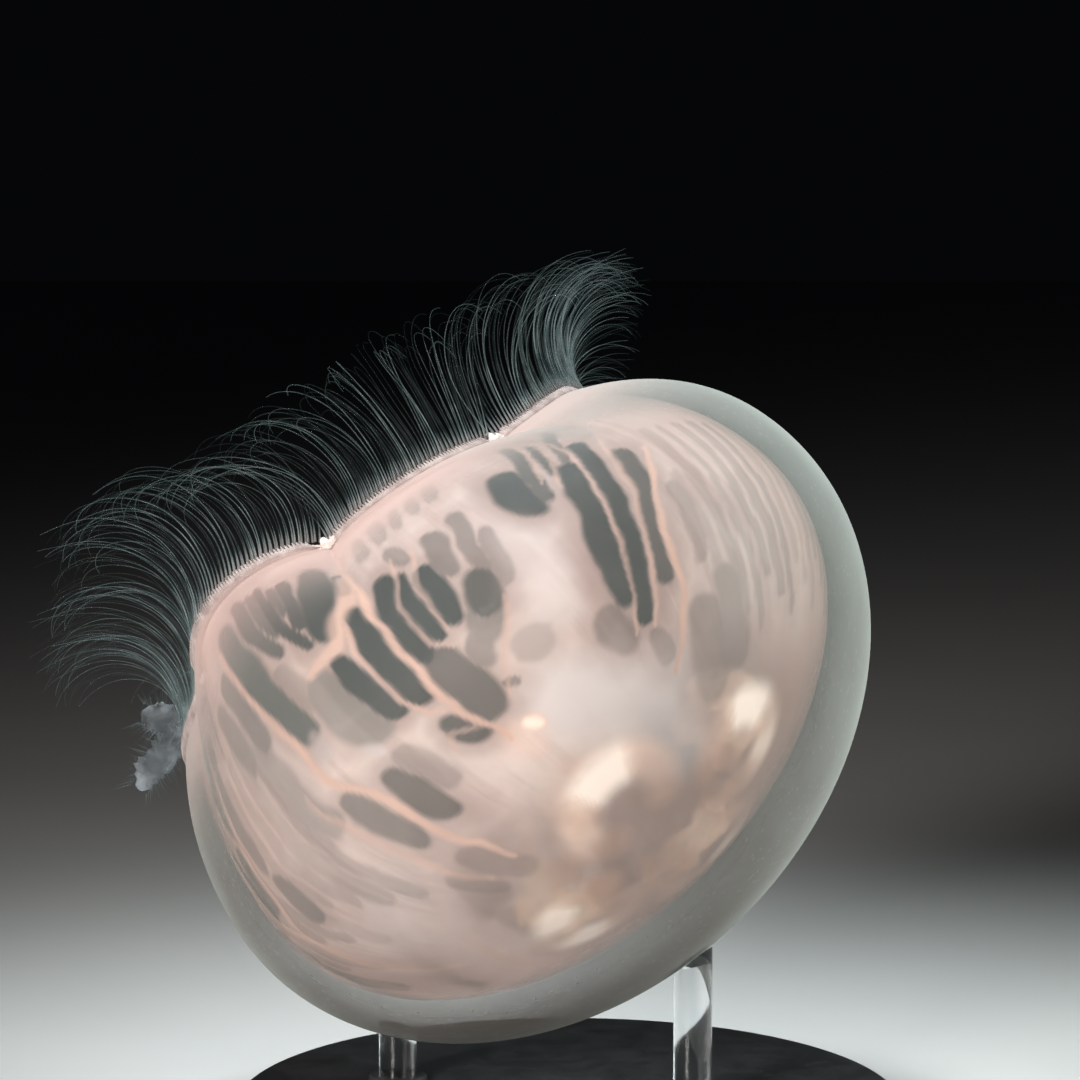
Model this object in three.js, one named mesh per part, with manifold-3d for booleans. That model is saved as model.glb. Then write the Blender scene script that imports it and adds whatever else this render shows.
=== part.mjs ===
// Moon jellyfish (Aurelia aurita), life size, caught at the end of a swimming stroke and held
// on a plain display stand. Millimetres, +Z up, origin at the centre of the stand's underside.
//
// The animal is drawn upright in a frame of its own, crown up and mouth down, with the widest
// circle of the bell at height 0, and then turned as a whole into its swimming pose.

import * as THREE from 'three';
import * as BufferGeometryUtils from 'three/addons/utils/BufferGeometryUtils.js';
import Module from 'manifold-3d';

const wasm = await Module();
wasm.setup();

// ---- Driving dimensions ----

const gap = 0.3;                    // clearance between pieces that meet
const facetSag = 0.25;              // how far the flat facets of the ceiling stand below its curve

const pose = {
  heading: -31.3,                   // turn of the leaning crown about the vertical, degrees
  lean: 128.2,                      // crown's lean from upright, past level, so it points down
  roll: 159.7,                      // turn about the bell's own axis, to the first notch
  centre: [-5, 3, 67.5]             // centre of the bell's widest circle above the stand
};

const bell = {
  radius: 57.6,                     // outer surface at the widest circle
  height: 44.4,                     // crown above the widest circle
  ceilingRadius: 52.5,              // inner surface at the widest circle
  ceilingHeight: 35,                // inner surface above the widest circle
  skirtDepth: 45.7,                 // lower half-axis of the inner surface
  crownEdge: 12,                    // latitude where the crown ends and the lobes begin, degrees
  rimThickness: 1.4,
  flareStart: 0.35,                 // share of the skirt where the margin begins to flare
  roundSteps: 40,
  outerRows: 5,
  innerRows: 4,
  lobeRows: 6
};

// The eight notches of the margin, each with the radius and the depth below the widest circle,
// and the middle of the lobe that follows each notch.
const notches = [
  [40, 29.5], [39, 24], [40.5, 27], [42.5, 31.2], [46.5, 34.8], [43.5, 32], [42.5, 31], [41, 30]
];
const lobeTips = [
  [40.4, 26.4], [42, 25.4], [43.8, 34.8], [43.6, 32.4], [46.4, 35], [44.4, 33.2], [43.8, 32.6], [42, 31.6]
];

const band = { height: 1.7, inset: 0.1, notchRoom: 1.5 };
const tentacle = {
  perLobe: 10, steps: 7, sides: 3, rootRadius: 0.6, tipRadius: 0.42,
  length: 33, longer: 3, lengthScatter: 2,
  bend: 118, bendMore: 32, bendMoreAt: 20, bendScatter: 8,   // outward turn, root to tip, degrees
  bendGrowth: 1.3,
  sway: 45, swayAt: 85, swayWidth: 36,          // turn along the margin, and where it is greatest
  swayBack: 25, swayBackAt: 25, swayBackWidth: 25,
  lean: 0.2, leanMore: 0.38, leanFade: 1.5      // push towards the first notch at the root
};
const rhopalium = { radius: 1.0 };
// The gonads and the mouth stand round a middle that lies to one side of the bell's axis.
const middle = { place: [2.5, 12.5], from: -4, to: 11.5 };  // the arms join it between two heights
const gonad = { ringRadius: 16, loopRadius: 6.5, tubeRadius: 3, openHalfAngle: 48, steps: 12 };
const manubrium = { topRadius: 6.5, waistRadius: 4.6, mouthRadius: 7.2, mouthHeight: 9 };
const arm = {
  rootWidth: 7.5, tipWidth: 6.5, thickness: 3.2, steps: 7,
  split: 0.5,                       // share of the arm in its upper length
  roundFrom: 0.8                    // share of the arm where its tip begins to round off
};

// Middle line of each oral arm, from its corner of the mouth out towards the margin, as
// radius, azimuth in degrees and height. Its flat side faces the given azimuth. The third
// hangs out over the margin and ends in a fork of two narrower prongs.
const armRoutes = [
  { facing: 45, line: [[5, 45, 11.5], [13, 42, 4], [21, 37, -5], [27, 32, -13], [31.5, 30, -20]] },
  { facing: 135, line: [[5, 155, 12.5], [13, 150, 10], [21, 148, 1], [27, 144, -9], [31.5, 146, -17]] },
  {
    facing: 135,
    line: [[5, 225, 11], [14, 222, 2], [21, 213, -10], [30, 200, -25], [37.5, 190, -36], [42, 186.5, -41.5]],
    prongs: [
      [[39, 189, -38.5], [44, 185, -44.5], [46.5, 180, -49.5]],
      [[39, 189, -38.5], [47.5, 186, -42.6], [57, 184.5, -41.5]]
    ]
  },
  { facing: 315, line: [[5, 315, 11.5], [13, 313, 3], [20, 307, -7], [26, 303, -18], [30, 300, -28]] }
];
const prong = { facing: 100, rootWidth: 7, tipWidth: 6.5, thickness: 2.6, steps: 3 };
const parted = { from: 175, to: 199 };  // no tentacles where the third arm lies on the margin

const stand = {
  baseRadius: 52, baseHeight: 7, edge: 1.2,
  rodRadius: 3, socketDepth: 3,
  rods: [[-27, 9], [19, -6]]        // where the rods stand on the base
};

// ---- Materials ----

function material(color, roughness) {
  return new THREE.MeshStandardMaterial({ color, roughness, metalness: 0 });
}

const gel = material(0xb9b3ac, 0.25);
const margin = material(0xd9c3b6, 0.4);
const feeler = material(0xb8c6c8, 0.4);
const cream = material(0xf3dcc0, 0.45);
const milky = material(0xcfd6d8, 0.4);
const acrylic = material(0x3b3f42, 0.3);
const clearRod = material(0xc8d0d2, 0.15);

// ---- Small helpers ----

const radians = THREE.MathUtils.degToRad;
const lerp = THREE.MathUtils.lerp;

// A number from -1 to 1 that scatters evenly over the whole numbers.
const scatter = (index) => 2 * ((index * 0.618034) % 1) - 1;

function bare(geometry) {
  geometry.deleteAttribute('normal');
  geometry.deleteAttribute('uv');
  return BufferGeometryUtils.mergeVertices(geometry, 1e-5);
}

// Moves every vertex of a three.js geometry to place(x, y, z).
function warp(geometry, place) {
  const body = bare(geometry);
  const position = body.getAttribute('position');
  for (let i = 0; i < position.count; i += 1) {
    const moved = place(position.getX(i), position.getY(i), position.getZ(i));
    position.setXYZ(i, moved.x, moved.y, moved.z);
  }
  return body;
}

function toManifold(geometry) {
  const body = geometry.index && !geometry.getAttribute('normal') ? geometry : bare(geometry);
  return new wasm.Manifold(new wasm.Mesh({
    numProp: 3,
    vertProperties: new Float32Array(body.getAttribute('position').array),
    triVerts: new Uint32Array(body.index.array)
  }));
}

function fromManifold(solid) {
  const mesh = solid.getMesh();
  const geometry = new THREE.BufferGeometry();
  geometry.setAttribute('position', new THREE.BufferAttribute(mesh.vertProperties, 3));
  geometry.setIndex(new THREE.BufferAttribute(mesh.triVerts, 1));
  return geometry;
}

function addPiece(group, name, geometry, look) {
  const mesh = new THREE.Mesh(geometry, look);
  mesh.name = name;
  group.add(mesh);
}

function polar(radius, azimuth, height) {
  return new THREE.Vector3(radius * Math.cos(azimuth), radius * Math.sin(azimuth), height);
}

// Sweeps a geometry that stands along Y, from -0.5 to 0.5, along a curve. X goes sideways,
// square to the reference direction, and Z goes across both.
function sweep(geometry, curve, reference, scaleAt) {
  return warp(geometry, (x, y, z) => {
    const along = y + 0.5;
    const tangent = curve.getTangent(along);
    const side = new THREE.Vector3().crossVectors(tangent, reference).normalize();
    const across = new THREE.Vector3().crossVectors(side, tangent);
    const [wide, deep] = scaleAt(along, Math.atan2(z, x));
    return curve.getPoint(along).addScaledVector(side, x * wide).addScaledVector(across, z * deep);
  });
}

// ---- Bell ----

const notchStep = 2 * Math.PI / notches.length;
const notchCurve = new THREE.CatmullRomCurve3(
  notches.map(([radius, drop]) => new THREE.Vector3(radius, -drop, 0)), true, 'catmullrom'
);

// Radius and height of the margin's edge at an azimuth: a round lobe between two notches.
function rimAt(azimuth) {
  const turns = azimuth / (2 * Math.PI);
  const wrapped = turns - Math.floor(turns);
  const lobe = Math.floor(wrapped * notches.length + 1e-9) % notches.length;
  const across = wrapped * notches.length - lobe;
  const base = notchCurve.getPoint(wrapped);
  const middle = notchCurve.getPoint((lobe + 0.5) / notches.length);
  const bulge = Math.pow(Math.sin(Math.PI * THREE.MathUtils.clamp(across, 0, 1)), 0.7);
  const [tipRadius, tipDrop] = lobeTips[lobe];
  return {
    radius: base.x + (tipRadius - middle.x) * bulge,
    height: base.y + (-tipDrop - middle.y) * bulge
  };
}

// The same edge as the facets draw it, straight from one column of vertices to the next.
function rimEdge(azimuth) {
  const column = 2 * Math.PI / bell.roundSteps;
  const step = Math.floor(azimuth / column + 1e-9);
  const before = rimAt(step * column);
  const after = rimAt((step + 1) * column);
  const share = azimuth / column - step;
  return {
    radius: lerp(before.radius, after.radius, share),
    height: lerp(before.height, after.height, share)
  };
}

function outerProfile(latitude) {
  return [bell.radius * Math.cos(latitude), bell.height * Math.sin(latitude)];
}

function innerProfile(latitude) {
  const vertical = latitude > 0 ? bell.ceilingHeight : bell.skirtDepth;
  return [bell.ceilingRadius * Math.cos(latitude), vertical * Math.sin(latitude)];
}

function ceilingAt(radius) {
  return bell.ceilingHeight * Math.sqrt(1 - (radius / bell.ceilingRadius) ** 2);
}

// A point of the skirt: down runs from the crown's edge (0) to the margin (1).
function skirtPoint(azimuth, down, outside) {
  const rim = rimAt(azimuth);
  const profile = outside ? outerProfile : innerProfile;
  const depth = outside ? bell.height : bell.skirtDepth;
  const edgeRadius = outside ? rim.radius : rim.radius - bell.rimThickness;
  const last = Math.asin(rim.height / depth);
  const [radius, height] = profile(lerp(radians(bell.crownEdge), last, down));
  const pull = edgeRadius - profile(last)[0];
  const flare = Math.max(0, (down - bell.flareStart) / (1 - bell.flareStart)) ** 2;
  return [radius + pull * flare, height];
}

function crownGeometry() {
  const profile = [];
  for (let i = 0; i <= bell.outerRows; i += 1) {
    profile.push(outerProfile(radians(lerp(90, bell.crownEdge, i / bell.outerRows))));
  }
  for (let i = bell.innerRows; i >= 0; i -= 1) {
    profile.push(innerProfile(radians(lerp(90, bell.crownEdge, i / bell.innerRows))));
  }
  profile[0][0] = 0;
  profile[profile.length - 1][0] = 0;
  const points = profile.reverse().map(([radius, height]) => new THREE.Vector2(radius, height));
  const lathe = new THREE.LatheGeometry(points, bell.roundSteps);
  lathe.rotateX(Math.PI / 2);
  return bare(lathe);
}

function lobeGeometry(lobe) {
  const columns = bell.roundSteps / notches.length;
  const firstDown = 0.003;
  const box = new THREE.BoxGeometry(1, 1, 1, columns, bell.lobeRows, 1);
  return warp(box, (x, y, z) => {
    const down = lerp(firstDown, 1, 0.5 - y);
    const azimuth = (lobe + 0.5 + x) * notchStep;
    const [radius, height] = skirtPoint(azimuth, down, z > 0);
    const trim = Math.abs(x) > 0.499 ? Math.sign(x) * gap / 2 / radius : 0;
    return polar(radius, azimuth - trim, height);
  });
}

// ---- Margin: band, tentacles and sense organs ----

function bandGeometry(lobe) {
  const columns = bell.roundSteps / notches.length;
  const box = new THREE.BoxGeometry(1, 1, 1, columns, 1, 1);
  return warp(box, (x, y, z) => {
    const full = (lobe + 0.5 + x) * notchStep;
    const trim = Math.abs(x) > 0.499 ? Math.sign(x) * band.notchRoom / rimAt(full).radius : 0;
    const rim = rimEdge(full - trim);
    const radius = z > 0 ? rim.radius + band.inset : rim.radius - bell.rimThickness - band.inset;
    return polar(radius, full - trim, rim.height - gap - band.height * (0.5 - y));
  });
}

// How near an azimuth is to a place on the margin, falling from 1 to 0 over the width, degrees.
function nearness(azimuth, place, width) {
  const apart = THREE.MathUtils.euclideanModulo(azimuth - radians(place) + Math.PI, 2 * Math.PI) - Math.PI;
  return Math.exp(-((apart / radians(width)) ** 2));
}

// The tentacles bend away from the bell like the mouth of a trumpet. At their roots all lean
// towards the first notch, and those across the bell from it lean the most.
function tentacleCurve(azimuth, index) {
  const rim = rimEdge(azimuth);
  const more = tentacle.bendMore * Math.cos(azimuth - radians(tentacle.bendMoreAt));
  const bend = radians(tentacle.bend + more + tentacle.bendScatter * scatter(index));
  const sway = tentacle.sway * nearness(azimuth, tentacle.swayAt, tentacle.swayWidth)
    - tentacle.swayBack * nearness(azimuth, tentacle.swayBackAt, tentacle.swayBackWidth);
  const outward = polar(1, azimuth + radians(sway), 0);
  const lean = tentacle.lean + tentacle.leanMore * (1 - Math.cos(azimuth));
  const length = tentacle.length - tentacle.longer * Math.cos(azimuth)
    + tentacle.lengthScatter * scatter(index * 3 + 1);
  const place = polar(
    rim.radius - bell.rimThickness / 2, azimuth, rim.height - gap - band.height / 2
  );
  const points = [place.clone()];
  for (let i = 0; i < tentacle.steps; i += 1) {
    const share = (i + 0.5) / tentacle.steps;
    const angle = bend * share ** tentacle.bendGrowth;
    const direction = new THREE.Vector3(0, 0, -Math.cos(angle));
    direction.addScaledVector(outward, Math.sin(angle));
    direction.x += lean * (1 - share) ** tentacle.leanFade;
    place.addScaledVector(direction.normalize(), length / tentacle.steps);
    points.push(place.clone());
  }
  return new THREE.CatmullRomCurve3(points);
}

function tentacleSolid(azimuth, index) {
  const rod = new THREE.CylinderGeometry(1, 1, 1, tentacle.sides, tentacle.steps);
  const sideways = new THREE.Vector3(-Math.sin(azimuth), Math.cos(azimuth), 0);
  const tube = sweep(rod, tentacleCurve(azimuth, index), sideways, (along) => {
    const radius = lerp(tentacle.rootRadius, tentacle.tipRadius, along);
    return [radius, radius];
  });
  return toManifold(tube);
}

function fringeGeometry(lobe) {
  let fringe = toManifold(bandGeometry(lobe));
  for (let i = 0; i < tentacle.perLobe; i += 1) {
    const azimuth = (lobe + 0.08 + 0.84 * i / (tentacle.perLobe - 1)) * notchStep;
    if (azimuth < radians(parted.from) || azimuth > radians(parted.to)) {
      fringe = fringe.add(tentacleSolid(azimuth, lobe * tentacle.perLobe + i));
    }
  }
  return fromManifold(fringe);
}

function rhopaliumGeometry(notch) {
  const rim = rimEdge(notch * notchStep);
  const bead = new THREE.SphereGeometry(rhopalium.radius, 6, 5);
  const place = polar(
    rim.radius - bell.rimThickness / 2, notch * notchStep, rim.height - gap - rhopalium.radius
  );
  bead.translate(place.x, place.y, place.z);
  return bare(bead);
}

// ---- Gonads, mouth and oral arms ----

// Moves a point with the middle, wholly or by a share.
function fromMiddle(point, share = 1) {
  const [x, y] = middle.place;
  return point.add(new THREE.Vector3(x * share, y * share, 0));
}

// A horseshoe lying against the ceiling of the bell, with its open side to the middle.
function gonadGeometry(quarter) {
  const azimuth = quarter * Math.PI / 2;
  const points = [];
  for (let i = 0; i <= gonad.steps; i += 1) {
    const turn = lerp(-Math.PI + radians(gonad.openHalfAngle), Math.PI - radians(gonad.openHalfAngle),
      i / gonad.steps);
    const out = gonad.ringRadius + gonad.loopRadius * Math.cos(turn);
    const side = 1.15 * gonad.loopRadius * Math.sin(turn);
    const place = fromMiddle(polar(Math.hypot(out, side), azimuth + Math.atan2(side, out), 0));
    const radius = Math.hypot(place.x, place.y);
    place.z = ceilingAt(radius + 0.6 * gonad.tubeRadius) - gap - facetSag - 1.12 * gonad.tubeRadius;
    points.push(place);
  }
  const curve = new THREE.CatmullRomCurve3(points);
  const length = gonad.steps;
  const capsule = new THREE.CapsuleGeometry(1, length - 2, 2, 8, gonad.steps - 2);
  capsule.scale(1, 1 / length, 1);
  return sweep(capsule, curve, new THREE.Vector3(0, 0, 1), (along) => {
    const swell = 1 + 0.1 * Math.cos(along * 9 * Math.PI);
    return [gonad.tubeRadius * swell, gonad.tubeRadius];
  });
}

// The four-cornered stalk of the mouth. A margin round it gives the room its neighbours keep.
function manubriumGeometry(room = 0) {
  const { topRadius, waistRadius, mouthRadius, mouthHeight } = manubrium;
  const top = ceilingAt(topRadius * 1.12 + Math.hypot(...middle.place)) - gap - facetSag + room;
  const profile = [
    [0, mouthHeight + 2.5 - room], [mouthRadius - 2.2, mouthHeight - room],
    [mouthRadius + room, mouthHeight + 1 - room],
    [waistRadius + room, lerp(mouthHeight, top, 0.45)],
    [waistRadius + 0.6 + room, lerp(mouthHeight, top, 0.75)],
    [topRadius + room, top], [0, top]
  ];
  const points = profile.map(([radius, height]) => new THREE.Vector2(radius, height));
  const lathe = new THREE.LatheGeometry(points, 16);
  lathe.rotateX(Math.PI / 2);
  return warp(lathe, (x, y, z) => {
    const corner = 1 + 0.12 * Math.cos(4 * Math.atan2(y, x) + Math.PI);
    return fromMiddle(new THREE.Vector3(x * corner, y * corner, z));
  });
}

// A flat, waved ribbon between two shares of its middle line.
function ribbonGeometry(line, facing, ribbon, from, to) {
  const points = line.map(([radius, azimuth, height]) => {
    const share = (height - middle.from) / (middle.to - middle.from);
    return fromMiddle(polar(radius, radians(azimuth), height), Math.min(1, Math.max(0, share)));
  });
  const curve = new THREE.CatmullRomCurve3(points);
  const outward = polar(1, radians(facing), 0);
  const rod = new THREE.CylinderGeometry(0.5, 0.5, 1, 6, ribbon.steps, false, Math.PI / 6);
  return warp(rod, (x, y, z) => {
    const along = lerp(from, to, y + 0.5);
    const tangent = curve.getTangent(along);
    const side = new THREE.Vector3().crossVectors(tangent, outward).normalize();
    const across = new THREE.Vector3().crossVectors(side, tangent);
    const ending = Math.max(0, (along - arm.roundFrom) / (1 - arm.roundFrom));
    const round = Math.sqrt(1 - 0.93 * ending * ending);
    const width = lerp(ribbon.rootWidth, ribbon.tipWidth, along) * (1 + 0.14 * Math.sin(along * 24)) * round;
    const flutter = 0.8 * Math.sin(along * 20) * 2 * x;
    return curve.getPoint(along)
      .addScaledVector(side, x * width)
      .addScaledVector(across, z * ribbon.thickness * round + flutter);
  });
}

function upperArmGeometry({ line, facing }) {
  const mouth = toManifold(manubriumGeometry(gap));
  const cut = toManifold(ribbonGeometry(line, facing, arm, 0, arm.split)).subtract(mouth);
  const outer = cut.decompose().sort((a, b) => b.volume() - a.volume())[0];
  return fromManifold(outer);
}

function armTipGeometry({ line, facing, prongs = [] }) {
  let tip = toManifold(ribbonGeometry(line, facing, arm, arm.split + 0.01, 1));
  for (const prongLine of prongs) {
    tip = tip.add(toManifold(ribbonGeometry(prongLine, prong.facing, prong, 0, 1)));
  }
  return fromManifold(tip);
}

// ---- Stand ----

function baseGeometry() {
  const { baseRadius, baseHeight, edge, socketDepth } = stand;
  const profile = [
    [0, 0], [baseRadius, 0], [baseRadius, baseHeight - edge], [baseRadius - edge, baseHeight],
    [0, baseHeight]
  ];
  const points = profile.map(([radius, height]) => new THREE.Vector2(radius, height));
  const disc = new THREE.LatheGeometry(points, 32);
  disc.rotateX(Math.PI / 2);
  let base = toManifold(disc);
  for (const [x, y] of stand.rods) {
    const socket = uprightCylinder(stand.rodRadius + gap, socketDepth + 1);
    socket.translate(x, y, baseHeight - socketDepth + (socketDepth + 1) / 2);
    base = base.subtract(toManifold(socket));
  }
  return fromManifold(base);
}

function uprightCylinder(radius, height) {
  const cylinder = new THREE.CylinderGeometry(radius, radius, height, 16);
  cylinder.rotateX(Math.PI / 2);
  return cylinder;
}

// A rod up to the bell, hollowed at the top to the bell's own curve.
function rodGeometry([x, y], bellMatrix) {
  const bottom = stand.baseHeight - stand.socketDepth + gap;
  const top = pose.centre[2];
  const rod = uprightCylinder(stand.rodRadius, top - bottom);
  rod.translate(x, y, (top + bottom) / 2);
  const rest = new THREE.SphereGeometry(1, 48, 24);
  rest.scale(bell.radius + 2 * gap, bell.height + 2 * gap, bell.radius + 2 * gap);
  rest.rotateX(Math.PI / 2);
  rest.applyMatrix4(bellMatrix);
  const cut = toManifold(rod).subtract(toManifold(rest));
  const lowest = cut.decompose().sort((a, b) => a.boundingBox().min[2] - b.boundingBox().min[2])[0];
  return fromManifold(lowest);
}

// ---- Assembly ----

const model = new THREE.Group();
const heading = new THREE.Group();
heading.position.set(...pose.centre);
heading.rotation.z = radians(pose.heading);
model.add(heading);
const lean = new THREE.Group();
lean.rotation.y = radians(pose.lean);
heading.add(lean);
const animal = new THREE.Group();
animal.rotation.z = radians(pose.roll);
lean.add(animal);

addPiece(animal, 'bell_crown', crownGeometry(), gel);
for (let i = 0; i < notches.length; i += 1) {
  addPiece(animal, `bell_lobe_${i + 1}`, lobeGeometry(i), gel);
  addPiece(animal, `tentacles_${i + 1}`, fringeGeometry(i), feeler);
  addPiece(animal, `rhopalium_${i + 1}`, rhopaliumGeometry(i), margin);
}
for (let i = 0; i < 4; i += 1) {
  addPiece(animal, `gonad_${i + 1}`, gonadGeometry(i), cream);
}
addPiece(animal, 'manubrium', manubriumGeometry(), milky);
armRoutes.forEach((route, i) => {
  addPiece(animal, `oral_arm_${i + 1}`, upperArmGeometry(route), milky);
  addPiece(animal, `oral_arm_${i + 1}_tip`, armTipGeometry(route), milky);
});

model.updateMatrixWorld(true);
addPiece(model, 'stand_base', baseGeometry(), acrylic);
stand.rods.forEach((place, i) => {
  addPiece(model, `stand_rod_${i + 1}`, rodGeometry(place, animal.matrixWorld), clearRod);
});

export default model;
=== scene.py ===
import math

import bpy
import numpy as np
from mathutils import Matrix, Vector, noise


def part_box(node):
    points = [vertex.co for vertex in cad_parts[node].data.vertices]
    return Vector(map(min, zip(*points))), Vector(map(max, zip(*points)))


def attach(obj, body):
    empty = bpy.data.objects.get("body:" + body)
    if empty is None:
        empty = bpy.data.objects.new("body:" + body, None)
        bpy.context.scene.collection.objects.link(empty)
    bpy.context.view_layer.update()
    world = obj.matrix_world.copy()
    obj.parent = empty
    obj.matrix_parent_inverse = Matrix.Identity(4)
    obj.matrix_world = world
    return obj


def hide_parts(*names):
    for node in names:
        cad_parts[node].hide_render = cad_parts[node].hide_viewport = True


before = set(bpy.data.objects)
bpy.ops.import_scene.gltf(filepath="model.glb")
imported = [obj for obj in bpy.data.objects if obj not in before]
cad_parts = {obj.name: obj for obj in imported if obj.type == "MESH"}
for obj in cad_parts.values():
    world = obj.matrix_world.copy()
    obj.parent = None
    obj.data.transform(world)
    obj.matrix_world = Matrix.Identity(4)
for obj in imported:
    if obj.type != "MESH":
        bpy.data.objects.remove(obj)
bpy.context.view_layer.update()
print("frame loaded:", len(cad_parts), "nodes")

mm = 0.001  # sizes below are in millimetres and degrees, unless a note says otherwise

# The animal is drawn upright, crown up, with the widest circle of the bell at height 0,
# and then turned as a whole into its swimming pose, as in the solids.
pose = {"heading": -31.3, "lean": 128.2, "roll": 159.7, "centre": (-5, 3, 67.5)}

bell = {
    "radius": 57.6, "height": 44.4,
    "ceilingRadius": 52.5, "ceilingHeight": 35, "skirtDepth": 45.7,
    "crownEdge": 12, "flareStart": 0.35, "rimThickness": 1.4,
    "notches": [
        (40, 29.5), (39, 24), (40.5, 27), (42.5, 31.2),
        (46.5, 34.8), (43.5, 32), (42.5, 31), (41, 30)],
    "lobeTips": [
        (40.4, 26.4), (42, 25.4), (43.8, 34.8), (43.6, 32.4),
        (46.4, 35), (44.4, 33.2), (43.8, 32.6), (42, 31.6)],
    "columns": 420, "outerRows": 74, "innerRows": 146, "lipRows": 4,
    "facing": 85, "crowding": 0.42,     # the columns stand closer on this side
    "windowDepth": 0.15, "windowWidth": 1.5, "windowRim": 1.22, "windowSoftness": 0.5,
    "fringeShadeReach": 4.6, "fringeShadeStrength": 0.72,       # painted shade: darker flesh beside the windows
    "canalWidth": 1.15, "fleshRelief": 0.12, "furrowDepth": 0.45, "furrowWidth": 3.0,
    "innerLength": 104, "crownRows": 14,
}


def lerp(a, b, share):
    return a + (b - a) * share


def smooth(value):
    value = np.clip(value, 0, 1)
    return value * value * (3 - 2 * value)


def scatter(index):
    # a number from -1 to 1 that spreads evenly over the whole numbers
    return 2 * ((index * 0.618034) % 1) - 1


def polar(radius, azimuth, height):
    # points of the animal's own frame, from cylinder coordinates (azimuth in radians)
    return np.stack(np.broadcast_arrays(radius * np.cos(azimuth), radius * np.sin(azimuth), height), axis=-1)


turned = (
    Matrix.Rotation(math.radians(pose["heading"]), 3, "Z")
    @ Matrix.Rotation(math.radians(pose["lean"]), 3, "Y")
    @ Matrix.Rotation(math.radians(pose["roll"]), 3, "Z"))
turnedRows = np.array(turned)


def posed(points):
    # from the animal's own frame, in millimetres, to the row frame in metres
    flat = np.asarray(points, dtype=float).reshape(-1, 3)
    return (flat @ turnedRows.T + np.array(pose["centre"])) * mm


def gridFaces(rows, columns, closed=True, first=0):
    # quads of a grid of vertices, row after row, closed round the columns or open
    row = np.arange(rows - 1)[:, None] * columns
    across = np.arange(columns if closed else columns - 1)[None, :]
    after = (across + 1) % columns
    quads = np.stack([row + across, row + after, row + columns + after, row + columns + across], axis=-1)
    return (quads.reshape(-1, 4) + first).tolist()


def fanFaces(centre, ring, flip=False):
    faces = [(centre, ring[i], ring[(i + 1) % len(ring)]) for i in range(len(ring))]
    return [face[::-1] for face in faces] if flip else faces


def makePiece(name, points, faces, materials, nodes, worldPoints=False):
    mesh = bpy.data.meshes.new(name)
    placed = np.asarray(points, dtype=float).reshape(-1, 3) if worldPoints else posed(points)
    mesh.from_pydata(placed.tolist(), [], faces)
    for material in materials:
        mesh.materials.append(material)
    mesh.shade_smooth()
    mesh.update()
    piece = bpy.data.objects.new(name, mesh)
    bpy.context.collection.objects.link(piece)
    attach(piece, "root")
    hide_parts(*nodes)
    print("made", name, len(mesh.polygons), "faces")
    return piece


def setAttribute(mesh, name, values):
    attribute = mesh.attributes.new(name, "FLOAT", "POINT")
    attribute.data.foreach_set("value", np.asarray(values, dtype=np.float32))


cameraLook = {
    "elevation": 6, "distance": 560, "fieldOfView": 17.0,
    "aimAcross": 0.5, "aimUp": 26,      # aim point, from the middle of the bell
}


def makeCamera():
    tilt = math.radians(cameraLook["elevation"])
    away = Vector((0, -math.cos(tilt), math.sin(tilt)))
    up = Vector((0, math.sin(tilt), math.cos(tilt)))
    aim = Vector(pose["centre"]) + Vector((cameraLook["aimAcross"], 0, 0)) + up * cameraLook["aimUp"]
    data = bpy.data.cameras.new("camera")
    data.sensor_fit = "HORIZONTAL"
    data.angle = math.radians(cameraLook["fieldOfView"])
    data.clip_start = 0.01
    data.clip_end = 20
    camera = bpy.data.objects.new("camera", data)
    camera.location = (aim + away * cameraLook["distance"]) * mm
    camera.rotation_euler = away.to_track_quat("Z", "Y").to_euler()
    bpy.context.collection.objects.link(camera)
    bpy.context.scene.camera = camera


makeCamera()
print("camera set")


def feed(tree, socket, value):
    # a link where the value comes from another node, and a plain value otherwise
    if isinstance(value, bpy.types.NodeSocket):
        tree.links.new(value, socket)
    else:
        socket.default_value = value


def addNode(tree, kind, settings=None, **inputs):
    node = tree.nodes.new(kind)
    for key, value in (settings or {}).items():
        setattr(node, key, value)
    for key, value in inputs.items():
        feed(tree, node.inputs[key.replace("_", " ")], value)
    return node


def newGroup(name, inputs, outputs):
    tree = bpy.data.node_groups.new(name, "ShaderNodeTree")
    for label, kind, value in inputs:
        socket = tree.interface.new_socket(label, in_out="INPUT", socket_type=kind)
        if value is not None:
            socket.default_value = value
    for label, kind in outputs:
        tree.interface.new_socket(label, in_out="OUTPUT", socket_type=kind)
    start = tree.nodes.new("NodeGroupInput")
    end = tree.nodes.new("NodeGroupOutput")
    return tree, start.outputs, end.inputs


def mixColours(tree, share, first, second, mode="MIX"):
    node = addNode(tree, "ShaderNodeMix", {"data_type": "RGBA", "blend_type": mode})
    for index, value in ((0, share), (6, first), (7, second)):
        feed(tree, node.inputs[index], value)
    return node.outputs[2]


def mixValues(tree, share, first, second):
    node = addNode(tree, "ShaderNodeMix", {"data_type": "FLOAT"})
    for index, value in ((0, share), (2, first), (3, second)):
        feed(tree, node.inputs[index], value)
    return node.outputs[0]


def calculate(tree, operation, first, second=0.0, third=0.0, clamp=False):
    node = addNode(tree, "ShaderNodeMath", {"operation": operation, "use_clamp": clamp})
    for index, value in enumerate((first, second, third)):
        feed(tree, node.inputs[index], value)
    return node.outputs[0]


def remap(tree, value, low, high, toLow, toHigh, kind="SMOOTHSTEP"):
    node = addNode(
        tree, "ShaderNodeMapRange", {"interpolation_type": kind},
        Value=value, From_Min=low, From_Max=high, To_Min=toLow, To_Max=toHigh)
    return node.outputs["Result"]


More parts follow.
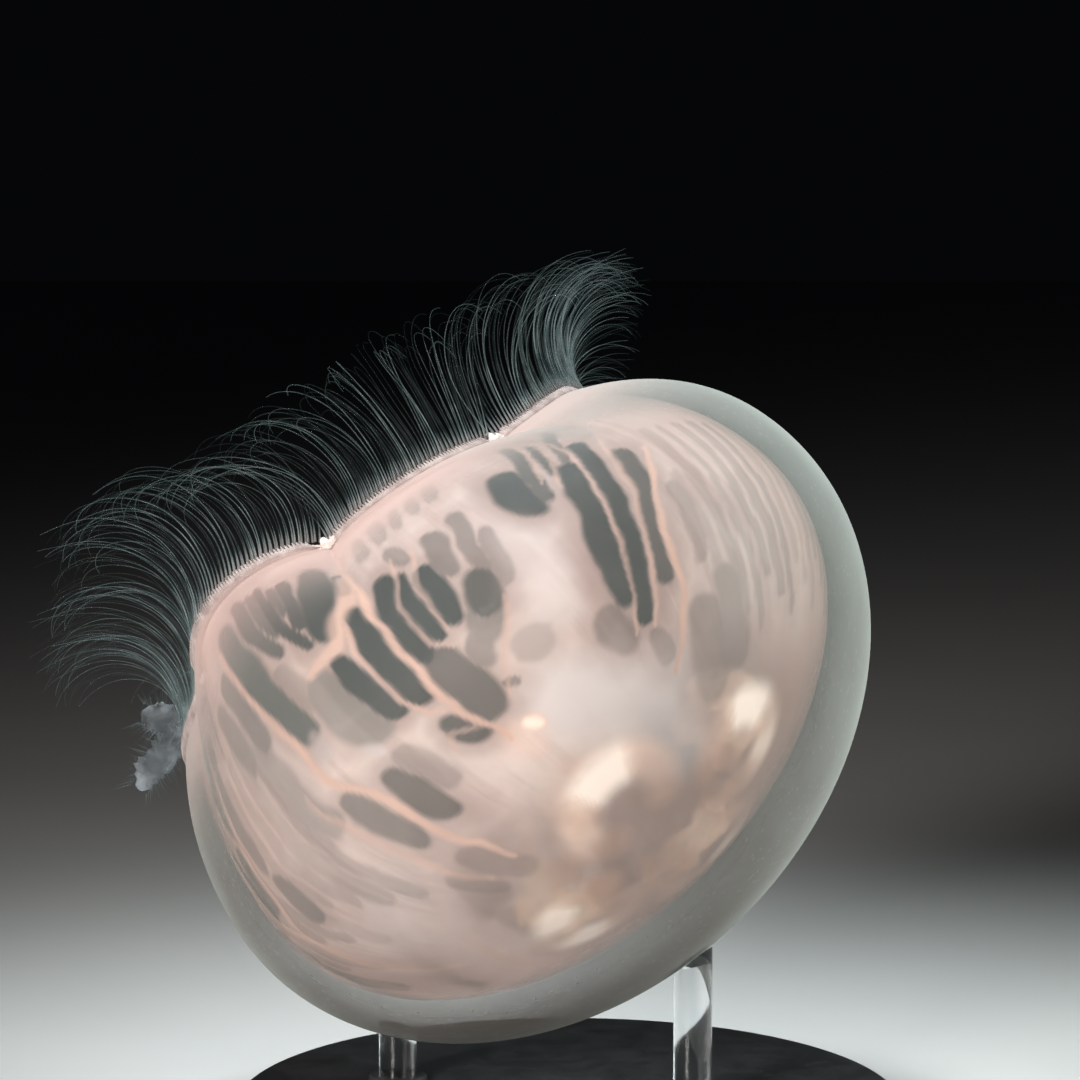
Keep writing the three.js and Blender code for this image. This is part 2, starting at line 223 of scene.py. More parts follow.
def makeMottleGroup():
    # cloudy change between two colours, with the same clouds as a mask and a height
    tree, given, out = newGroup(
        "softMottle",
        [("Vector", "NodeSocketVector", None), ("Scale", "NodeSocketFloat", 100.0),
         ("Contrast", "NodeSocketFloat", 0.5), ("Low Colour", "NodeSocketColor", (0.5, 0.5, 0.5, 1)),
         ("High Colour", "NodeSocketColor", (0.8, 0.8, 0.8, 1))],
        [("Colour", "NodeSocketColor"), ("Mask", "NodeSocketFloat"), ("Height", "NodeSocketFloat")])
    clouds = addNode(
        tree, "ShaderNodeTexNoise", Vector=given["Vector"], Scale=given["Scale"],
        Detail=5.0, Roughness=0.6, Distortion=0.3)
    centred = calculate(tree, "SUBTRACT", clouds.outputs["Fac"], 0.5)
    steep = calculate(tree, "MULTIPLY_ADD", given["Contrast"], 6.0, 1.0)
    mask = calculate(tree, "MULTIPLY_ADD", centred, steep, 0.5, clamp=True)
    tree.links.new(mixColours(tree, mask, given["Low Colour"], given["High Colour"]), out["Colour"])
    tree.links.new(mask, out["Mask"])
    tree.links.new(clouds.outputs["Fac"], out["Height"])
    return tree


def makeWartGroup():
    # scattered small round warts, as a mask and a height
    tree, given, out = newGroup(
        "fineWarts",
        [("Vector", "NodeSocketVector", None), ("Scale", "NodeSocketFloat", 1000.0),
         ("Size", "NodeSocketFloat", 0.3)],
        [("Mask", "NodeSocketFloat"), ("Height", "NodeSocketFloat")])
    cells = addNode(
        tree, "ShaderNodeTexVoronoi", Vector=given["Vector"], Scale=given["Scale"], Randomness=1.0)
    room = calculate(tree, "DIVIDE", cells.outputs["Distance"], given["Size"])
    mask = remap(tree, room, 0.5, 1.0, 1.0, 0.0)
    tree.links.new(mask, out["Mask"])
    tree.links.new(mask, out["Height"])
    return tree


def makeStreakGroup():
    # fine threads that run along one direction of the given coordinates
    tree, given, out = newGroup(
        "fineStreaks",
        [("Vector", "NodeSocketVector", None), ("Scale", "NodeSocketFloat", 40.0),
         ("Width", "NodeSocketFloat", 0.5)],
        [("Mask", "NodeSocketFloat"), ("Height", "NodeSocketFloat")])
    threads = addNode(
        tree, "ShaderNodeTexNoise", Vector=given["Vector"], Scale=given["Scale"], Detail=3.0, Roughness=0.55)
    high = calculate(tree, "ADD", given["Width"], 0.14)
    tree.links.new(remap(tree, threads.outputs["Fac"], given["Width"], high, 0.0, 1.0), out["Mask"])
    tree.links.new(threads.outputs["Fac"], out["Height"])
    return tree


softMottle = makeMottleGroup()
fineWarts = makeWartGroup()
fineStreaks = makeStreakGroup()


def useGroup(tree, group, **inputs):
    return addNode(tree, "ShaderNodeGroup", {"node_tree": group}, **inputs)


def mottle(tree, space, scale, contrast, low, high):
    return useGroup(
        tree, softMottle, Vector=space, Scale=scale, Contrast=contrast, Low_Colour=low, High_Colour=high)


def newMaterial(name, **settings):
    material = bpy.data.materials.new(name)
    material.use_nodes = True
    tree = material.node_tree
    shader = tree.nodes["Principled BSDF"]
    for key, value in settings.items():
        shader.inputs[key.replace("_", " ")].default_value = value
    return material, tree, shader


def readAttribute(tree, name):
    return addNode(tree, "ShaderNodeAttribute", {"attribute_name": name})


def objectSpace(tree):
    return tree.nodes.new("ShaderNodeTexCoord").outputs["Object"]


def bumpInto(tree, shader, height, strength, distance):
    # the distance is in metres
    bump = addNode(tree, "ShaderNodeBump", Height=height, Strength=strength, Distance=distance)
    tree.links.new(bump.outputs["Normal"], shader.inputs["Normal"])


gelLook = {
    "shade": (0.28, 0.25, 0.22, 1), "light": (0.52, 0.55, 0.51, 1), "wart": (0.60, 0.62, 0.58, 1),
    # low and high: painted light from above, the gel darker low in the scene and lighter high up
    "low": (0.105, 0.083, 0.074, 1), "high": (0.29, 0.31, 0.297, 1), "margin": (0.60, 0.43, 0.39, 1),
    # rim: a painted sheen, the gel lighter towards its outline
    "rim": (0.50, 0.54, 0.51, 1),
    "thinAlpha": 0.05, "thickAlpha": 0.26, "edgeAlpha": 0.66, "marginAlpha": 0.14,
    "cloudAlpha": 0.05, "paintedLightFrom": 0.010, "paintedLightTo": 0.088,     # heights in metres
    "wartSize": 0.26, "wartScale": 620,
}


def makeGel():
    material, tree, shader = newMaterial("clearGel", Roughness=0.6, IOR=1.34, Specular_IOR_Level=0.12)
    space = objectSpace(tree)
    clouds = mottle(tree, space, 38.0, 0.3, gelLook["shade"], gelLook["light"])
    # painted light from above: the gel's colour runs from dark low down to light high up
    height = addNode(tree, "ShaderNodeSeparateXYZ", Vector=space).outputs["Z"]
    rise = remap(tree, height, gelLook["paintedLightFrom"], gelLook["paintedLightTo"], 0.0, 1.0, "LINEAR")
    paintedLight = mixColours(tree, rise, gelLook["low"], gelLook["high"])
    warts = useGroup(tree, fineWarts, Vector=space, Scale=gelLook["wartScale"], Size=gelLook["wartSize"])
    wartShare = calculate(tree, "MULTIPLY", warts.outputs["Mask"], 0.14)
    colour = mixColours(tree, 0.82, clouds.outputs["Colour"], paintedLight)
    colour = mixColours(tree, wartShare, colour, gelLook["wart"])
    thick = readAttribute(tree, "thick").outputs["Fac"]
    margin = remap(tree, thick, 0.2, 0.5, 1.0, 0.0)
    colour = mixColours(tree, margin, colour, gelLook["margin"])
    edge = addNode(tree, "ShaderNodeLayerWeight", Blend=0.5)
    # painted sheen: the gel's colour lighter towards its outline, by the angle of view
    paintedSheenShare = remap(tree, edge.outputs["Facing"], 0.72, 1.0, 0.0, 0.45)
    tree.links.new(mixColours(tree, paintedSheenShare, colour, gelLook["rim"]), shader.inputs["Base Color"])
    edgeAlpha = remap(tree, edge.outputs["Facing"], 0.28, 0.92, 0.0, gelLook["edgeAlpha"])
    body = remap(tree, thick, 0.1, 1.0, gelLook["thinAlpha"], gelLook["thickAlpha"], "LINEAR")
    alpha = calculate(tree, "ADD", body, edgeAlpha)
    alpha = calculate(tree, "MULTIPLY_ADD", margin, gelLook["marginAlpha"], alpha)
    alpha = calculate(tree, "MULTIPLY_ADD", clouds.outputs["Mask"], gelLook["cloudAlpha"], alpha)
    tree.links.new(alpha, shader.inputs["Alpha"])
    bumpInto(tree, shader, warts.outputs["Height"], 0.25, 0.0001)
    return material


fleshLook = {
    "pale": (0.84, 0.68, 0.62, 1), "warm": (0.62, 0.41, 0.35, 1), "lilac": (0.58, 0.49, 0.475, 1),
    # the dark colour after canal is painted shade beside the windows, and the canals' darker tone
    "canal": (0.78, 0.50, 0.40, 1), "fringeShadeAndCanalDark": (0.33, 0.225, 0.20, 1),
    # painted shade: the see-through windows coloured dark for the unlit inside behind them
    "shadedWindow": (0.028, 0.032, 0.031, 1), "greenShadedWindow": (0.10, 0.13, 0.118, 1),
    "margin": (0.62, 0.53, 0.50, 1), "milk": (0.80, 0.72, 0.70, 1), "ceiling": (0.40, 0.26, 0.215, 1),
    "peach": (0.86, 0.46, 0.31, 1), "cream": (1.0, 0.84, 0.73, 1),
    "edge": (0.80, 0.46, 0.37, 1), "edgeTint": 0.6, "edgeFade": 0.6,
    "wallAlpha": 0.92, "ceilingAlpha": 0.62, "windowAlpha": 0.955, "glowAlpha": 0.92,
}


def makeFlesh():
    material, tree, shader = newMaterial(
        "bellFlesh", Roughness=0.55, IOR=1.36, Specular_IOR_Level=0.2, Emission_Strength=0.34)
    space = objectSpace(tree)
    shadedWindow, canal, fringeShade, green, milk, glow, bright, down = (
        readAttribute(tree, name).outputs["Fac"]
        for name in ("shadedWindow", "canal", "fringeShade", "green", "milk", "glow", "bright", "down"))
    grain = readAttribute(tree, "grain").outputs["Vector"]
    clouds = mottle(tree, space, 55.0, 0.45, fleshLook["warm"], fleshLook["pale"])
    wide = mottle(tree, space, 24.0, 0.7, fleshLook["lilac"], fleshLook["pale"])
    threads = useGroup(tree, fineStreaks, Vector=grain, Scale=1.0, Width=0.5)
    colour = mixColours(tree, 0.5, clouds.outputs["Colour"], wide.outputs["Colour"])
    threadShare = calculate(tree, "MULTIPLY", threads.outputs["Mask"], remap(tree, down, 0.3, 0.5, 0.0, 0.30))
    colour = mixColours(tree, threadShare, colour, fleshLook["lilac"], "MULTIPLY")
    colour = mixColours(tree, remap(tree, down, 0.22, 0.46, 0.85, 0.0), colour, fleshLook["ceiling"])
    colour = mixColours(tree, milk, colour, fleshLook["milk"])
    colour = mixColours(tree, remap(tree, down, 0.93, 0.99, 0.0, 0.6), colour, fleshLook["margin"])
    # painted shade: the flesh darker beside the windows
    colour = mixColours(tree, fringeShade, colour, fleshLook["fringeShadeAndCanalDark"])
    canalColour = mixColours(tree, clouds.outputs["Mask"], fleshLook["canal"], fleshLook["fringeShadeAndCanalDark"])
    canalColour = mixColours(tree, 0.7, canalColour, fleshLook["canal"])
    colour = mixColours(tree, canal, colour, canalColour)
    # painted shade in the windows, for the unlit inside seen through them
    paintedWindowShade = mixColours(tree, green, fleshLook["shadedWindow"], fleshLook["greenShadedWindow"])
    edge = addNode(tree, "ShaderNodeLayerWeight", Blend=0.5)
    edgeShare = remap(tree, edge.outputs["Facing"], 0.35, 0.95, 0.0, fleshLook["edgeTint"])
    colour = mixColours(tree, edgeShare, colour, fleshLook["edge"])
    colour = mixColours(tree, shadedWindow, colour, paintedWindowShade)
    glowColour = mixColours(tree, bright, fleshLook["peach"], fleshLook["cream"])
    tree.links.new(mixColours(tree, glow, colour, glowColour), shader.inputs["Base Color"])
    lit = calculate(tree, "MULTIPLY", glow, bright)
    tree.links.new(mixColours(tree, lit, (0, 0, 0, 1), glowColour), shader.inputs["Emission Color"])
    wall = remap(tree, down, 0.24, 0.46, fleshLook["ceilingAlpha"], fleshLook["wallAlpha"])
    thin = mixValues(tree, shadedWindow, wall, fleshLook["windowAlpha"])
    thin = mixValues(tree, glow, thin, fleshLook["glowAlpha"])
    fade = remap(tree, edge.outputs["Facing"], 0.62, 0.97, 1.0, 1 - fleshLook["edgeFade"])
    tree.links.new(calculate(tree, "MULTIPLY", thin, fade), shader.inputs["Alpha"])
    relief = calculate(tree, "MULTIPLY_ADD", threads.outputs["Height"], 0.5, clouds.outputs["Height"])
    bumpInto(tree, shader, relief, 0.3, 0.0004)
    return material


notchList = np.array(bell["notches"], dtype=float)
tipList = np.array(bell["lobeTips"], dtype=float)
lobeCount = len(notchList)


def notchCurve(turns):
    # smooth closed curve through the notches: radius and depth
    along = (turns % 1) * lobeCount
    first = np.floor(along).astype(int)
    u = (along - first)[..., None]
    p0, p1, p2, p3 = (notchList[(first + k) % lobeCount] for k in (-1, 0, 1, 2))
    return 0.5 * (2 * p1 + (p2 - p0) * u + (2 * p0 - 5 * p1 + 4 * p2 - p3) * u ** 2
                  + (3 * p1 - p0 - 3 * p2 + p3) * u ** 3)


def rimAt(azimuth):
    # radius and height of the margin's edge, a round lobe between two notches
    turns = (np.asarray(azimuth, dtype=float) / (2 * math.pi)) % 1
    lobe = np.floor(turns * lobeCount + 1e-9).astype(int) % lobeCount
    across = np.clip(turns * lobeCount - lobe, 0, 1)
    base = notchCurve(turns)
    halfway = notchCurve((lobe + 0.5) / lobeCount)
    bulge = (np.maximum(0, np.sin(math.pi * across)) ** 0.7)[..., None]
    edge = base + (tipList[lobe] - halfway) * bulge
    return edge[..., 0], -edge[..., 1]


def bellPoint(azimuth, down, outside):
    # down runs from the top of the dome (0) to the margin (1); gives radius and height
    rimRadius, rimHeight = rimAt(azimuth)
    wide = bell["radius"] if outside else bell["ceilingRadius"]
    depth = bell["height"] if outside else bell["skirtDepth"]
    crown = bell["height"] if outside else bell["ceilingHeight"]
    edgeRadius = rimRadius if outside else rimRadius - bell["rimThickness"]
    last = np.arcsin(rimHeight / depth)
    latitude = lerp(math.pi / 2, last, down)
    radius = wide * np.cos(latitude)
    height = np.where(latitude > 0, crown, depth) * np.sin(latitude)
    crownEdge = math.radians(bell["crownEdge"])
    skirtShare = (crownEdge - latitude) / (crownEdge - last)
    flare = np.maximum(0, (skirtShare - bell["flareStart"]) / (1 - bell["flareStart"])) ** 2
    return radius + (edgeRadius - wide * np.cos(last)) * flare, height


# Windows between the canals on the side that faces the camera, painted dark: painted shade of the unlit
# inside seen through them. Half width before windowWidth, how dark it is (0 to 1), how green (0 to 1),
# and its middle line as azimuth in degrees and share of the way down.
windows = [
    (1.75, 1.0, 0.0, [(95.4, 0.925), (97.2, 0.87), (99.2, 0.82)]),
    (0.85, 0.9, 0.0, [(91.8, 0.905), (93.2, 0.868)]),
    (1.9, 1.0, 0.0, [(92.8, 0.81), (94.0, 0.745), (94.6, 0.70), (94.2, 0.648)]),
    (1.5, 1.0, 0.0, [(100.5, 0.755), (100.1, 0.712), (99.7, 0.673), (99.0, 0.645)]),
    (1.55, 1.0, 0.0, [(86.8, 0.845), (88.2, 0.79), (89.3, 0.747), (89.9, 0.71)]),
    (1.05, 1.0, 0.0, [(84.2, 0.83), (85.2, 0.775), (86.0, 0.72)]),
    (1.5, 1.0, 0.0, [(80.4, 0.81), (81.4, 0.765), (82.0, 0.73)]),
    (1.1, 0.5, 0.0, [(82.2, 0.885), (81.2, 0.855)]),
    (1.2, 0.6, 0.0, [(75.8, 0.855), (77.0, 0.79)]),
    (1.0, 0.55, 0.0, [(71.0, 0.86), (73.4, 0.76)]),
    (1.1, 0.5, 0.0, [(69.0, 0.80), (72.0, 0.72)]),
    (2.0, 0.9, 0.0, [(75.4, 0.75), (76.6, 0.70)]),
    (2.3, 0.6, 0.4, [(78.4, 0.70), (79.6, 0.665)]),
    (1.9, 0.55, 0.3, [(81.8, 0.67), (83.0, 0.635)]),
    (2.1, 0.8, 0.0, [(88.8, 0.685), (88.0, 0.625), (88.1, 0.56)]),
    (1.8, 0.85, 0.0, [(93.6, 0.572), (92.8, 0.54)]),
    (0.85, 0.95, 0.0, [(100.9, 0.935), (101.5, 0.845)]),
    (0.6, 0.85, 0.0, [(103.4, 0.94), (103.3, 0.885)]),
    (0.85, 0.95, 0.0, [(106.0, 0.95), (105.6, 0.893), (104.4, 0.85), (103.0, 0.815)]),
    (0.7, 0.8, 0.1, [(108.6, 0.95), (108.0, 0.905), (106.8, 0.86)]),
    (1.0, 0.85, 0.2, [(111.6, 0.955), (111.2, 0.905), (110.0, 0.86), (108.2, 0.835)]),
    (1.9, 0.88, 0.5, [(117.0, 0.93), (116.4, 0.885), (115.6, 0.83), (114.3, 0.765), (112.8, 0.705)]),
    (2.6, 0.55, 0.8, [(105.6, 0.735), (105.0, 0.69), (103.4, 0.645)]),
    (1.6, 0.35, 0.3, [(110.0, 0.80), (109.0, 0.74)]),
    (1.7, 0.6, 0.3, [(122.6, 0.88), (121.4, 0.76)]),
    (1.4, 0.5, 0.3, [(128.5, 0.87), (127.0, 0.77)]),
    (2.2, 0.4, 0.5, [(124.0, 0.76), (123.6, 0.67), (121.8, 0.60)]),
    (1.9, 1.0, 0.0, [(59.4, 0.87), (61.0, 0.835), (60.6, 0.795)]),
    (0.9, 0.85, 0.0, [(51.5, 0.94), (54.0, 0.885), (56.4, 0.845), (57.4, 0.80)]),
    (0.75, 0.85, 0.0, [(48.4, 0.91), (50.6, 0.88), (53.0, 0.827)]),
    (0.6, 0.7, 0.0, [(42.0, 0.935), (46.0, 0.88), (49.4, 0.835)]),
    (1.65, 1.0, 0.0, [(50.4, 0.815), (53.0, 0.78), (54.8, 0.725), (56.6, 0.665), (58.0, 0.60),
                      (59.0, 0.565)]),
    (1.25, 1.0, 0.0, [(44.4, 0.855), (46.2, 0.80), (49.0, 0.74), (51.0, 0.68), (53.6, 0.615), (55.4, 0.56),
                      (57.4, 0.515)]),
    (1.25, 0.85, 0.0, [(41.0, 0.795), (42.4, 0.755), (44.7, 0.70), (46.9, 0.65), (48.8, 0.60), (50.3, 0.56)]),
    (2.2, 0.5, 0.0, [(64.0, 0.55), (63.4, 0.50)]),
    (1.2, 0.4, 0.0, [(57.0, 0.475), (57.4, 0.43)]),
    (2.6, 0.42, 0.0, [(45.5, 0.47), (47.0, 0.34)]),
    (2.4, 0.38, 0.0, [(37.5, 0.50), (39.0, 0.37)]),
    (1.1, 0.3, 0.0, [(38.0, 0.70), (41.0, 0.56)]),
    (1.75, 0.75, 0.0, [(107.6, 0.555), (107.4, 0.50), (106.8, 0.46)]),
    (1.75, 0.65, 0.3, [(116.4, 0.585), (115.6, 0.53), (114.6, 0.495), (114.4, 0.465)]),
    (1.5, 0.35, 0.0, [(103.6, 0.575), (102.0, 0.50)]),
    (1.7, 0.35, 0.0, [(113.6, 0.385), (113.0, 0.34), (112.5, 0.30)]),
    (1.1, 0.3, 0.0, [(121.0, 0.385), (119.5, 0.31)]),
    (2.2, 0.3, 0.0, [(76.0, 0.605), (75.6, 0.59)]),
    (0.6, 0.6, 0.0, [(84.0, 0.575), (82.2, 0.565)]),
]


# Faint small windows in a row along the margin, faint streaks down both sides of the pattern: painted shade.
windows += [(0.8, 0.4, 0.0, [(68.6 + 4.1 * i, 0.955), (69.6 + 4.1 * i, 0.922)]) for i in range(5)]
windows += [
    (0.8 + 0.3 * scatter(i), 0.24 + 0.1 * scatter(i * 3), 0.0,
     [(-14.0 + 4.2 * i, 0.76 + 0.05 * scatter(i * 5)), (-12.5 + 4.2 * i, 0.60),
      (-13.0 + 4.2 * i, 0.42 + 0.06 * scatter(i * 7))])
    for i in range(13)]
windows += [
    (1.1 + 0.3 * scatter(i + 2), 0.28 + 0.12 * scatter(i * 3 + 1), 0.3,
     [(125.0 + 4.4 * i, 0.86 + 0.05 * scatter(i * 5)), (126.5 + 4.2 * i, 0.68),
      (126.0 + 4.0 * i, 0.50 + 0.08 * scatter(i * 7))])
    for i in range(10)]

# Canals on the same side: half width before canalWidth, strength and the route, in the same terms.
canals = [
    (0.6, 1.0, [(90.0, 0.96), (90.8, 0.865), (91.3, 0.79), (91.9, 0.735), (91.8, 0.69), (91.8, 0.625),
                (91.0, 0.553), (89.7, 0.50)]),
    (1.3, 0.75, [(91.6, 0.90), (93.6, 0.84), (96.4, 0.82), (99.4, 0.785), (103.0, 0.775), (105.6, 0.765)]),
    (0.55, 0.8, [(94.6, 0.83), (97.2, 0.76), (97.4, 0.70), (97.0, 0.65), (95.4, 0.61), (93.0, 0.60)]),
    (0.7, 0.9, [(121.0, 0.93), (119.8, 0.85), (117.6, 0.78), (116.3, 0.72), (115.8, 0.66), (114.6, 0.61),
                (113.0, 0.575), (111.4, 0.535), (111.0, 0.48), (111.0, 0.42), (110.0, 0.33)]),
    (0.6, 0.5, [(121.5, 0.66), (121.0, 0.60), (119.4, 0.53), (119.0, 0.46), (119.4, 0.395), (117.5, 0.33)]),
    (0.65, 1.0, [(36.5, 0.79), (40.3, 0.74), (43.0, 0.69), (45.5, 0.635), (47.0, 0.585), (47.6, 0.54),
                 (48.4, 0.51), (50.8, 0.475), (54.6, 0.425), (56.0, 0.40)]),
    (0.45, 0.6, [(45.6, 0.90), (49.0, 0.79), (52.6, 0.70), (55.0, 0.62), (57.6, 0.55), (60.6, 0.50)]),
    (0.45, 0.6, [(39.5, 0.86), (44.2, 0.76), (48.0, 0.67), (51.2, 0.60), (54.0, 0.53), (56.6, 0.49)]),
    (0.4, 0.6, [(50.0, 0.93), (53.4, 0.87), (56.4, 0.82)]),
    (0.4, 0.6, [(46.8, 0.93), (50.4, 0.86), (54.6, 0.80)]),
    (0.45, 0.6, [(83.0, 0.87), (86.6, 0.79), (87.8, 0.72), (86.0, 0.69)]),
    (0.45, 0.5, [(79.2, 0.86), (83.0, 0.79), (84.4, 0.715)]),
    (0.6, 0.5, [(90.6, 0.545), (95.4, 0.56), (97.4, 0.53)]),
    (0.5, 0.5, [(74.0, 0.70), (78.0, 0.63), (82.0, 0.60), (85.0, 0.55)]),
]

# Milky patches and small spots of painted glow on the same side: half width, strength and the route.
milkyPatches = [
    (9.0, 0.75, [(78.0, 0.50), (66.0, 0.38), (60.0, 0.28)]),
    (6.0, 0.5, [(66.0, 0.76), (70.0, 0.62)]),
    (5.0, 0.6, [(20.0, 0.93), (45.0, 0.97)]),
    (1.5, 0.9, [(112.6, 0.69), (112.4, 0.67)]),
    (1.5, 0.8, [(106.2, 0.625), (105.8, 0.605)]),
    (1.2, 0.8, [(57.0, 0.955), (55.0, 0.945)]),
]
glowSpots = [(1.6, 1.0, [(85.8, 0.50), (84.6, 0.485)]), (3.2, 0.35, [(88.6, 0.50), (88.0, 0.46)])]


def farSideMarks():
    # the same sort of branching pattern, windows painted dark as shade, for the sides that are turned away
    marks = []
    routes = []
    sector = 22.5
    for i in range(9):
        spine = 152 + sector * i
        sway = 2.2 * scatter(i + 3)
        fork = 0.60 + 0.03 * scatter(i * 5 + 1)
        routes.append((0.9, 0.85, [(spine, 0.34), (spine + sway, 0.47), (spine, fork)]))
        for side in (-1, 1):
            split = 0.76 + 0.03 * scatter(i * 7 + side)
            near = spine + side * 5.2
            routes.append((0.8, 0.8, [(spine, fork), (spine + side * 3.6, fork + 0.06), (near, split)]))
            for twig in (-1, 1):
                far = near + twig * 2.9
                routes.append((0.6, 0.7, [(near, split), (far, split + 0.06), (far + 0.4 * sway, 0.94)]))
            for k, (shift, top, bottom, width) in enumerate((
                    (0.0, split + 0.045, 0.925, 1.3), (5.6, split - 0.04, 0.92, 1.4),
                    (-2.4, fork + 0.07, split + 0.01, 1.4), (5.4, fork - 0.02, split - 0.08, 1.7))):
                dark = 0.75 + 0.2 * scatter(i * 11 + k + side)
                start = near + side * shift
                marks.append((width, dark, 0.25, [(start, bottom), (start - side * 1.2, top)]))
        marks.append((1.6, 0.6, 0.3, [(spine + 0.5 * sector, 0.57), (spine + 0.5 * sector + sway, 0.43)]))
    return marks, routes


def strokeDistance(azimuth, down, route, halfWidth, taper):
    # distance of each point from a stroke's middle line, as a share of the stroke's half width
    length = bell["innerLength"]
    roughPerDegree = 0.85   # millimetres along the skin for a degree, near enough for the taper
    perDegree = bellPoint(azimuth, down, False)[0] * math.pi / 180
    degrees = np.degrees(azimuth)
    pairs = list(zip(route, route[1:]))
    steps = [math.hypot((b[0] - a[0]) * roughPerDegree, (b[1] - a[1]) * length) for a, b in pairs]
    nearest = np.full(azimuth.shape, 99.0)
    gone = 0.0
    for (a, b), step in zip(pairs, steps):
        offset = ((degrees - a[0] + 180) % 360 - 180) * perDegree
        climb = (down - a[1]) * length
        across = (b[0] - a[0]) * perDegree
        rise = (b[1] - a[1]) * length
        share = np.clip((offset * across + climb * rise) / (across ** 2 + rise ** 2 + 1e-9), 0, 1)
        distance = np.hypot(offset - across * share, climb - rise * share)
        run = np.clip((gone + share * step) / sum(steps), 0, 1)
        swell = 1 - taper * (1 - np.sin(math.pi * run) ** 0.6)
        nearest = np.minimum(nearest, distance / (halfWidth * swell))
        gone += step
    return nearest


def wander(azimuth, down):
    # small wanderings that keep the marks from looking ruled
    places = polar(40.0, azimuth, down * 90)
    out = np.empty((len(places), 2))
    for i, place in enumerate(places):
        coarse = Vector(place) * 0.2
        fine = Vector(place) * 0.62
        out[i, 0] = noise.noise(coarse) + 0.2 * noise.noise(fine)
        out[i, 1] = noise.noise(coarse + Vector((31, 7, 3))) + 0.2 * noise.noise(fine + Vector((9, 4, 1)))
    return out[:, 0], out[:, 1]


# The gonads and the mouth stand round a middle to one side of the bell's axis; the arms join it
# between two heights.
middle = {"place": (2.5, 12.5), "from": -4, "to": 11.5}
gonad = {
    "ringRadius": 16, "loopRadius": 6.5, "tubeRadius": 3.3, "openHalfAngle": 48, "ceilingRoom": 0.4,
    "steps": 72, "sides": 22, "lumps": 0.24, "ruffles": 0.30, "endSteps": 5.5,
    "shine": (1.3, 1.3, 1.35, 0.7),     # how bright each of the four is
    "shineFocus": 1.3, "glowReach": 5.0, "glowSoftness": 3.8, "dullGlow": 0.25,
    "shade": (0.70, 0.40, 0.29, 1), "light": (0.90, 0.66, 0.52, 1),
    "cream": (1.0, 0.84, 0.66, 1), "rust": (0.86, 0.42, 0.20, 1),
}


def fromMiddle(place, share=1.0):
    # moves a point with the middle, wholly or by a share
    x, y = middle["place"]
    return place + np.array([x * share, y * share, 0.0])


def ceilingAt(radius):
    return bell["ceilingHeight"] * math.sqrt(1 - (radius / bell["ceilingRadius"]) ** 2)


def gonadPath(quarter):
    # a horseshoe against the ceiling of the bell, with its open side to the middle
    opening = math.radians(gonad["openHalfAngle"])
    path = []
    for i in range(gonad["steps"] + 1):
        turn = lerp(-math.pi + opening, math.pi - opening, i / gonad["steps"])
        out = gonad["ringRadius"] + gonad["loopRadius"] * math.cos(turn)
        side = 1.15 * gonad["loopRadius"] * math.sin(turn)
        place = fromMiddle(polar(math.hypot(out, side), quarter * math.pi / 2 + math.atan2(side, out), 0))
        radius = math.hypot(place[0], place[1]) + 0.6 * gonad["tubeRadius"]
        place[2] = ceilingAt(radius) - gonad["ceilingRoom"] - 1.12 * gonad["tubeRadius"]
        path.append(place)
    return np.array(path)


def gonadShine(quarter):
    # brightest on the outer side of the horseshoe, dull towards its two ends
    opening = math.radians(gonad["openHalfAngle"])
    turns = np.linspace(-math.pi + opening, math.pi - opening, gonad["steps"] + 1)
    patches = 0.8 + 0.35 * np.sin(turns * 3.1 + quarter * 2.3)
    outside = (0.5 + 0.5 * np.cos(turns)) ** gonad["shineFocus"]
    return np.clip(gonad["shine"][quarter] * outside * patches, 0, 1)


def gonadGlow(points):
    # light that the gonads throw on the ceiling over them, and how bright it is
    glow = np.zeros(len(points))
    bright = np.zeros(len(points))
    for quarter in range(4):
        path = gonadPath(quarter)
        apart = np.hypot(*(points[:, None, k] - path[None, :, k] for k in (0, 1)))
        nearest = apart.argmin(axis=1)
        near = smooth((gonad["glowReach"] - apart.min(axis=1)) / gonad["glowSoftness"])
        bright = np.where(near > glow, gonadShine(quarter)[nearest], bright)
        glow = np.maximum(glow, near)
    onCeiling = points[:, 2] > 10
    return glow * lerp(gonad["dullGlow"], 1, bright) * onCeiling, bright


